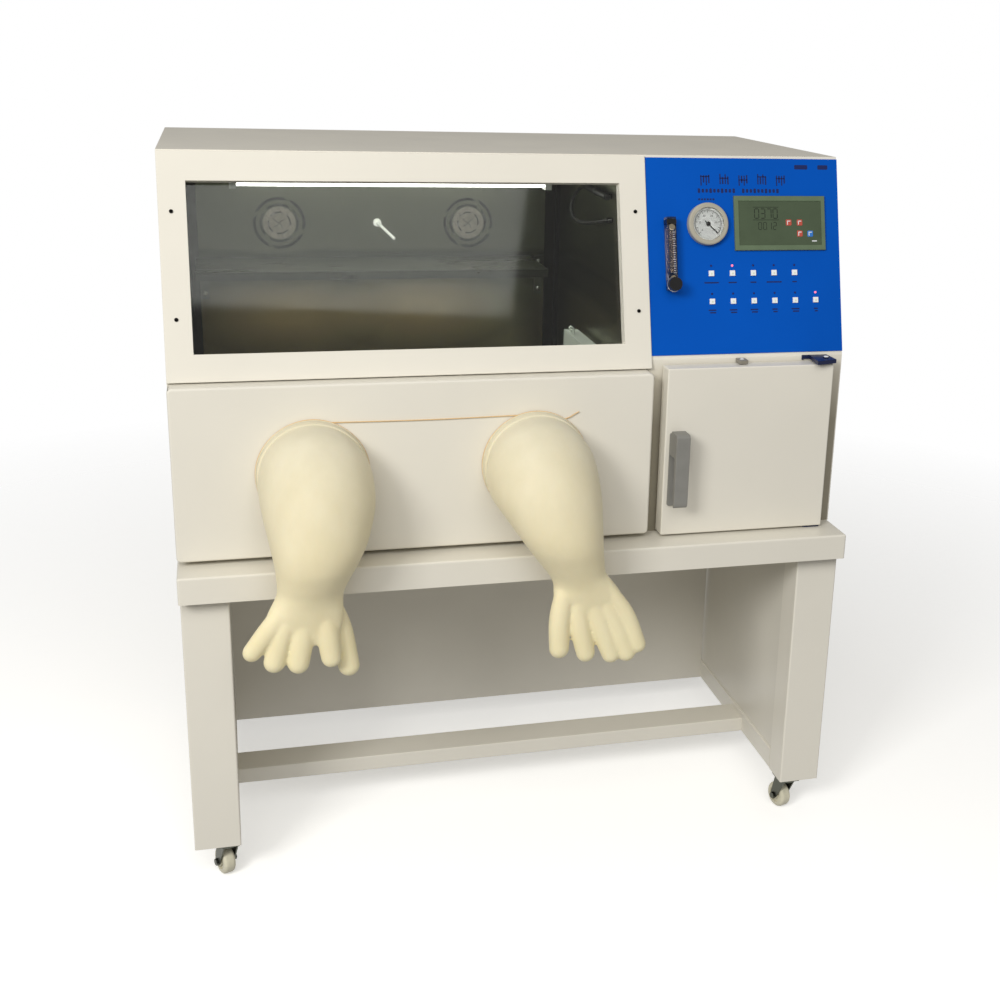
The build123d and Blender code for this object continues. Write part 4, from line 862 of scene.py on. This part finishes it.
def make_string():
    """Both turns, the stretched run between them and the loose end."""
    across = Vector((STRING_LOOP_R, 0, 0))
    rise = Vector((0, 0, STRING_LOOP_R))
    centres = [Vector((x, STRING_Y, PORT_Z)) for x in (PORT_LEFT_X, PORT_RIGHT_X)]
    leave = math.radians(70.0)
    left = centres[0] + across * math.cos(leave) + rise * math.sin(leave)
    right = centres[1] - across * math.cos(leave) + rise * math.sin(leave)
    rings = [string_ring("string_left", PORT_LEFT_X), string_ring("string_right", PORT_RIGHT_X)]
    run = [left.lerp(right, share) - Vector((0, 0, sag * MM))
           for share, sag in ((0.0, 0.0), (0.25, 1.2), (0.5, 1.8), (0.75, 1.2), (1.0, 0.0))]
    stretched = curve_tube("string_run", run, STRING_R, string_tone)
    leave = math.radians(57.0)
    start = centres[1] + across * math.cos(leave) + rise * math.sin(leave)
    steps = ((0, 0, 0), (9, -0.5, 2.5), (17, -0.8, 8.5), (25, -0.5, 12))
    tail_points = [start + Vector(step) * MM for step in steps]
    tail = curve_tube("string_tail", tail_points, STRING_R, string_tone)
    for piece in rings + [stretched, tail]:
        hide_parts("tie_string")


make_string()


# ---- Chamber details ----
def make_lamp():
    """The glowing tube in its holders, and the lead on the right wall with its sleeve and clips."""
    low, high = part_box("lamp")
    y = (low.y + high.y) / 2
    z = low.z + 17 * MM
    bm = bmesh.new()
    r, holder = 13.4, 12 * MM
    length = (high.x - low.x - 2 * holder) / MM
    turned(bm, Vector((low.x + holder, y, z)), X,
           [(0.2, r - 2), (1, r), (length - 1, r), (length - 0.2, r - 2)], 32)
    tube = finish_piece("lamp_tube", bm, lamp_glow)
    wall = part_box("lamp_cable")[1].x
    inset = (12, 12, 14, 24, 26, 22, 14, 7, 0)
    depth = (-0.093, 0.050, 0.098, 0.122, 0.110, 0.052, -0.030, -0.078, -0.094)
    height = (1.202, 1.205, 1.200, 1.172, 1.142, 1.136, 1.148, 1.158, 1.160)
    points = [Vector((wall - dx * MM, y, z)) for dx, y, z in zip(inset, depth, height)]
    cable = curve_tube("lamp_lead", points, 3.5 * MM, cable_black)
    bm = bmesh.new()
    start, end = points[0], Vector((wall - 12 * MM, 0.052, 1.2055))
    along = end - start
    length = along.length / MM
    turned(bm, start, along.normalized(),
           [(0, 5), (2, 6.5), (length * 0.45, 6.5), (length * 0.46, 7.4), (length * 0.54, 7.4),
            (length * 0.55, 6.5), (length - 8, 6.2), (length, 3.8)], 24)
    gland = finish_piece("lamp_gland", bm, cable_black)
    bm = bmesh.new()
    for point in (start + Vector((0, 13 * MM, 0)), points[7]):
        turned(bm, Vector((point.x - 2 * MM, point.y, point.z)), X,
               [(0, 4), (1, 5), ((wall - point.x) / MM + 1.5, 5)], 20)
    clip = finish_piece("lamp_clips", bm, cable_black)
    for piece in (cable, gland, clip):
        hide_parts("lamp_cable")


def make_grille_spokes():
    """Thin dark spokes that cross at the middle of each grille."""
    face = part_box("fan_baffle")[0].y
    for name, x in zip(("spokes_left", "spokes_right"), GRILLE_X):
        bm = bmesh.new()
        for degrees, length in ((31, 13), (141, 15), (214, 14), (297, 12)):
            along = Vector((math.cos(math.radians(degrees)), 0.0, math.sin(math.radians(degrees))))
            bent = along.cross(Vector((0, 1, 0))) * 1.6 * MM
            start = Vector((x, face - 0.3 * MM, GRILLE_Z))
            rings = []
            for share in (0.0, 0.25, 0.5, 0.75, 1.0):
                middle_point = start + along * length * MM * share + bent * math.sin(math.pi * share)
                side = along.cross(Vector((0, 1, 0))) * (0.75 - 0.25 * share) * MM
                rise = Vector((0, 0.45 * MM, 0))
                corners = (side + rise, -side + rise, -side - rise, side - rise)
                rings.append([bm.verts.new(middle_point + corner) for corner in corners])
            bridge(bm, rings)
        finish_piece(name, bm, spoke_dark, smooth=False)


def make_shelf_screws():
    """Bright dome screws that hold the shelf cleats to the baffle."""
    low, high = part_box("shelf")
    face = high.y - 4 * MM
    bm = bmesh.new()
    for x in (low.x + 14 * MM, high.x - 8 * MM):
        for z in (high.z - 12 * MM, high.z - 69 * MM):
            turned(bm, Vector((x, face, z)), Vector((0, -1, 0)),
                   [(0, 5), (1.2, 5), (2.6, 4), (3.4, 1.4)], 20)
    finish_piece("shelf_screws", bm, bright)


make_lamp()
make_grille_spokes()
make_shelf_screws()


# ---- Control panel, all in mm on the slope ----
def make_prints():
    """Plain printed bars where the panel carries its wording."""
    bm = bmesh.new()
    low, high = 0.02, 0.12
    title = 314
    strokes = ((-7.5, 2.2, 19), (-2.5, 2.8, 13), (2.5, 2.2, 18), (7.5, 2.6, 15))
    for i in range(5):
        centre = 341 + i * 36.5
        for k, (dx, width, height) in enumerate(strokes):
            lift = 1.5 if (i + k) % 2 else -1.0
            slope_plate(bm, centre + dx, title + lift, width, height, low, high, 0.8)
        slope_plate(bm, centre, title + 6 - 3 * (i % 3), 17, 2.2, low, high, 0.8)
    for start in (329, 414):
        for k in range(10):
            height = 6.6 if k % 3 else 8.2
            slope_plate(bm, start + k * 7.4, 294.5, 4.6, height, low, high, 1.4)
    for k in range(6):
        slope_plate(bm, 329 + k * 5.4, 279, 3.8, 3.4, low, high, 0.8)
    for x, width in ((528, 26), (571, 20)):
        slope_plate(bm, x, 338, width, 8.0, low, high, 2)
    widths = (28, 16, 12, 30, 9, 15, 15, 15, 11, 16, 8)
    for number, width in enumerate(widths, start=1):
        x, s, _ = slope_place(middle(f"button_{number}"))
        drop = 16.0 if number <= 5 else 15.0
        slope_plate(bm, x, s - drop, width, 2.4, low, high, 1.1)
        if number > 5:
            slope_plate(bm, x + 1, s - 19.5, width * 0.8, 2.4, low, high, 1.1)
    finish_piece("panel_print", bm, print_ink, smooth=False)


def make_indicators():
    """A lens over each indicator lamp; two are lit."""
    for number in range(1, 12):
        x, s, _ = slope_place(middle(f"button_{number}"))
        bm = bmesh.new()
        turned(bm, on_slope(x, s + 14.6), SLOPE_OUT,
               [(0.0, 2.0), (0.5, 2.0), (0.9, 1.8), (1.4, 1.2), (1.6, 0.4)], 20)
        lit = number in (2, 11)
        lens = finish_piece(f"indicator_{number}", bm, lit_red if lit else unlit)


def make_button_marks():
    """The small coloured window in each button's cap."""
    for number in range(1, 12):
        node = f"button_{number}"
        x, s, _ = slope_place(middle(node))
        bm = bmesh.new()
        slope_plate(bm, x, s, 3.4, 3.4, 2.42, 2.62, 1.0)
        finish_piece(f"{node}_mark", bm, button_mark, node)


def text_piece(name, body, x, s, n, size, material):
    """Plain numerals lying on the sloping front."""
    curve = bpy.data.curves.new(name, "FONT")
    curve.body = body
    curve.size = size * MM
    curve.extrude = 0.03 * MM
    curve.align_x = "CENTER"
    curve.align_y = "CENTER"
    obj = bpy.data.objects.new(name, curve)
    scene.collection.objects.link(obj)
    curve.materials.append(material)
    obj.matrix_world = Matrix.Translation(on_slope(x, s, n)) @ SLOPE_TURN
    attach(obj, "cabinet")
    return obj


def make_gauge():
    """Dial, scale, numbers and lens inside the gauge's bezel."""
    x, s, _ = slope_place(GAUGE)
    bm = bmesh.new()
    turned(bm, on_slope(x, s, 6.0), SLOPE_OUT, [(0.0, 29.3), (0.35, 29.3)], 64)
    finish_piece("dial_plate", bm, dial_white)
    low, high = 6.37, 6.42
    bm = bmesh.new()
    start, sweep, count = math.radians(225.0), math.radians(-270.0), 50
    for i in range(count + 1):
        angle = start + sweep * i / count
        inner, outer, half = (20.0, 25.0, 0.42) if i % 5 == 0 else (22.2, 25.0, 0.22)
        along = Vector((math.cos(angle), math.sin(angle)))
        side = Vector((-along.y, along.x)) * half
        corners = (along * inner - side, along * outer - side, along * outer + side, along * inner + side)
        bridge(bm, [[bm.verts.new(on_slope(x + c.x, s + c.y, level)) for c in corners]
                    for level in (low, high)])
    arc_in, arc_out, steps = 24.8, 25.5, 72
    rows = []
    for i in range(steps + 1):
        angle = start + sweep * i / steps
        c, k = math.cos(angle), math.sin(angle)
        corners = ((arc_in, low), (arc_out, low), (arc_out, high), (arc_in, high))
        rows.append([bm.verts.new(on_slope(x + c * r, s + k * r, level)) for r, level in corners])
    bridge(bm, rows)
    finish_piece("dial_scale", bm, needle_black, smooth=False)
    for i in range(6):
        angle = start + sweep * i / 5
        label = text_piece(f"dial_number_{i}", str(i * 20), x + 15.6 * math.cos(angle),
                           s + 15.6 * math.sin(angle), low, 5.0, needle_black)
    bm = bmesh.new()
    turned(bm, on_slope(x, s, 9.4), SLOPE_OUT, [(0.0, 29.4), (0.9, 29.4)], 64)
    finish_piece("gauge_lens", bm, lens_clear)
    bm = bmesh.new()
    turned(bm, GAUGE, SLOPE_OUT, [(0.6, 2.4), (1.1, 2.2), (1.5, 1.5), (1.6, 0.6)], 28)
    finish_piece("needle_cap", bm, needle_black, "gauge_needle")


# Each bar of a digit: across, up, and whether it lies flat.
SEGMENTS = {
    "a": (0.0, 1.0, True), "b": (0.5, 0.5, False), "c": (0.5, -0.5, False), "d": (0.0, -1.0, True),
    "e": (-0.5, -0.5, False), "f": (-0.5, 0.5, False), "g": (0.0, 0.0, True),
}
DIGITS = {"0": "abcdef", "1": "bc", "2": "abged", "3": "abgcd", "7": "abc"}


def digits(bm, text, x, s, pitch, wide, tall, level):
    """A row of seven-segment digits."""
    thick = wide * 0.17
    for i, character in enumerate(text):
        for name in DIGITS[character]:
            dx, ds, flat = SEGMENTS[name]
            width, height = (wide * 0.78, thick) if flat else (thick, tall * 0.44)
            slope_plate(bm, x + i * pitch + dx * wide, s + ds * tall / 2, width, height, level,
                        level + 0.05, thick * 0.3)


def make_controller():
    """The recessed screen, its digits and the membrane keys."""
    low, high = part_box("controller")
    x, _, _ = slope_place(middle("controller"))
    bm = bmesh.new()
    slope_plate(bm, x, 235.25, (high.x - low.x) / MM - 16.6, 80.0, 3.35, 3.9, 1.2, 0.3)
    finish_piece("controller_screen", bm, screen_green)
    bm = bmesh.new()
    level = 3.92
    digits(bm, "0370", 437, 253, 12, 8.2, 17, level)
    for s in (264.5, 241.5):
        slope_plate(bm, 455, s, 50, 0.9, level, level + 0.05, 0.3)
    digits(bm, "0012", 443, 230.5, 9.6, 6.0, 13, level)
    finish_piece("display_digits", bm, segment_dark, smooth=False)
    keys = (("key_set", 499, 236.7, key_red), ("key_run", 520.5, 236.6, key_red),
            ("key_down", 520.5, 216.6, key_red), ("key_up", 541, 216.3, key_blue))
    for name, x, s, material in keys:
        bm = bmesh.new()
        slope_plate(bm, x, s, 11, 11, 3.88, 4.5, 1.8, 0.4)
        finish_piece(name, bm, material)
    bm = bmesh.new()
    for _, x, s, _ in keys:
        slope_plate(bm, x, s + 2.6, 6.5, 1.5, 4.48, 4.56, 0.5)
        slope_plate(bm, x - 2.5, s - 0.6, 1.5, 6.5, 4.48, 4.56, 0.5)
    finish_piece("key_marks", bm, key_white)
    bm = bmesh.new()
    slope_plate(bm, 549, 203, 10, 2.0, level, level + 0.05, 0.6)
    finish_piece("screen_mark", bm, key_white)


def make_flowmeter_trim():
    """End caps, fittings and the scale on the flowmeter, and the knob's rim."""
    x, _, _ = slope_place(KNOB)
    _, low, _ = slope_place(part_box("flowmeter_body")[0])
    high = low + 129
    front = 18.5
    bm = bmesh.new()
    slope_plate(bm, x, high - 4, 18.2, 9, 1.0, front + 0.8, 2, 1)
    finish_piece("flowmeter_cap", bm, black)
    bm = bmesh.new()
    for s in (high - 14, low + 24):
        turned(bm, on_slope(x, s, front - 1), SLOPE_OUT, [(0, 5.6), (2.4, 5.6), (3.2, 4.8), (3.3, 1.5)], 24)
    finish_piece("flowmeter_fittings", bm, brass)
    bm = bmesh.new()
    for i in range(19):
        width = 6.0 if i % 3 == 0 else 3.6
        slope_plate(bm, x + 3.4, low + 34 + i * 4, width, 0.45, front, front + 0.1, 0.15)
    finish_piece("flowmeter_scale", bm, key_white, smooth=False)
    bm = bmesh.new()
    turned(bm, KNOB, SLOPE_OUT, [(-5.4, 12.9), (-4.8, 13.4), (-3.0, 13.4), (-2.4, 12.9)], 48)
    finish_piece("knob_rim", bm, bright, "flow_knob")


make_prints()
make_indicators()
make_button_marks()
make_gauge()
make_controller()
make_flowmeter_trim()


# ---- Door details ----
def make_door_trim():
    """White caps over the hinge's and the catch's screws."""
    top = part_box("door_hinges")[1].z
    bm = bmesh.new()
    for x, y, z, radius in ((0.3975, -0.2305, top - 4 * MM, 3.6), (0.555, -0.247, top, 4.6)):
        turned(bm, Vector((x, y, z - 0.2 * MM)), Vector((0, 0, 1)),
               [(0, radius), (0.9, radius), (1.7, radius * 0.7), (1.9, radius * 0.25)], 20)
    finish_piece("hinge_caps", bm, screw_white)


make_door_trim()


# ---- Stage ----
def make_stage():
    """A plain floor that fades into the white all round it."""
    size = 40.0
    bm = bmesh.new()
    corners = [(-size, -size), (size, -size), (size, size), (-size, size)]
    bm.faces.new([bm.verts.new((x, y, cad_box[0][2])) for x, y in corners])
    material, tree, shader = new_material("studio_floor")
    floor = mesh_object("floor", bm, material)
    set_shader(shader, rough=0.9, spec=0.1, glow=(1.0, 1.0, 0.99), glow_strength=0.40)
    clouds = noise(tree, coordinates(tree), 0.5, 2.0)
    tree.links.new(ramp(tree, clouds, [(0.2, (0.90, 0.90, 0.89)), (0.8, (0.92, 0.92, 0.91))]),
                   shader.inputs["Base Color"])
    edge = tree.nodes.new("ShaderNodeTexGradient")
    edge.gradient_type = "SPHERICAL"
    tree.links.new(coordinates(tree, (0.25, 0.25, 1.0)), edge.inputs["Vector"])
    tree.links.new(spread(tree, edge.outputs["Fac"], 0.0, 1.0, 0.25, 0.75), shader.inputs["Alpha"])
    floor.visible_diffuse = False


def area_light(name, place, aim, size, power, colour=(1.0, 1.0, 1.0)):
    data = bpy.data.lights.new(name, "AREA")
    data.shape = "RECTANGLE"
    data.size, data.size_y = size
    data.energy = power
    data.color = colour
    light = bpy.data.objects.new(name, data)
    scene.collection.objects.link(light)
    place, aim = Vector(place), Vector(aim)
    turn = (aim - place).to_track_quat("-Z", "Y").to_matrix().to_4x4()
    light.matrix_world = Matrix.Translation(place) @ turn
    light.visible_glossy = False


def make_world():
    """White behind the object, and a dimmer soft light all round it."""
    world = bpy.data.worlds.new("studio")
    world.use_nodes = True
    tree = world.node_tree
    around = tree.nodes["Background"]
    around.inputs["Color"].default_value = (1.0, 0.975, 0.93, 1.0)
    around.inputs["Strength"].default_value = 0.30
    backdrop = tree.nodes.new("ShaderNodeBackground")
    backdrop.inputs["Color"].default_value = (1.0, 1.0, 1.0, 1.0)
    path = tree.nodes.new("ShaderNodeLightPath")
    mix = tree.nodes.new("ShaderNodeMixShader")
    tree.links.new(path.outputs["Is Camera Ray"], mix.inputs["Fac"])
    tree.links.new(around.outputs["Background"], mix.inputs[1])
    tree.links.new(backdrop.outputs["Background"], mix.inputs[2])
    tree.links.new(mix.outputs["Shader"], tree.nodes["World Output"].inputs["Surface"])
    scene.world = world


def make_lights():
    area_light("key", (-2.9, -3.2, 3.0), (0.0, -0.2, 0.8), (1.4, 1.4), 108.0, (1.0, 0.985, 0.955))
    area_light("softbox", (-0.6, -3.6, 3.6), (0.0, 0.0, 0.9), (3.4, 2.6), 80.0, (1.0, 0.985, 0.96))
    low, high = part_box("lamp")
    area_light("lamp_light", ((low.x + high.x) / 2, low.y + 22 * MM, low.z - 4 * MM),
               ((low.x + high.x) / 2, low.y + 60 * MM, 0.7), (0.55, 0.02), 1.2)


make_stage()
make_world()
make_lights()
scene.view_settings.view_transform = "Standard"
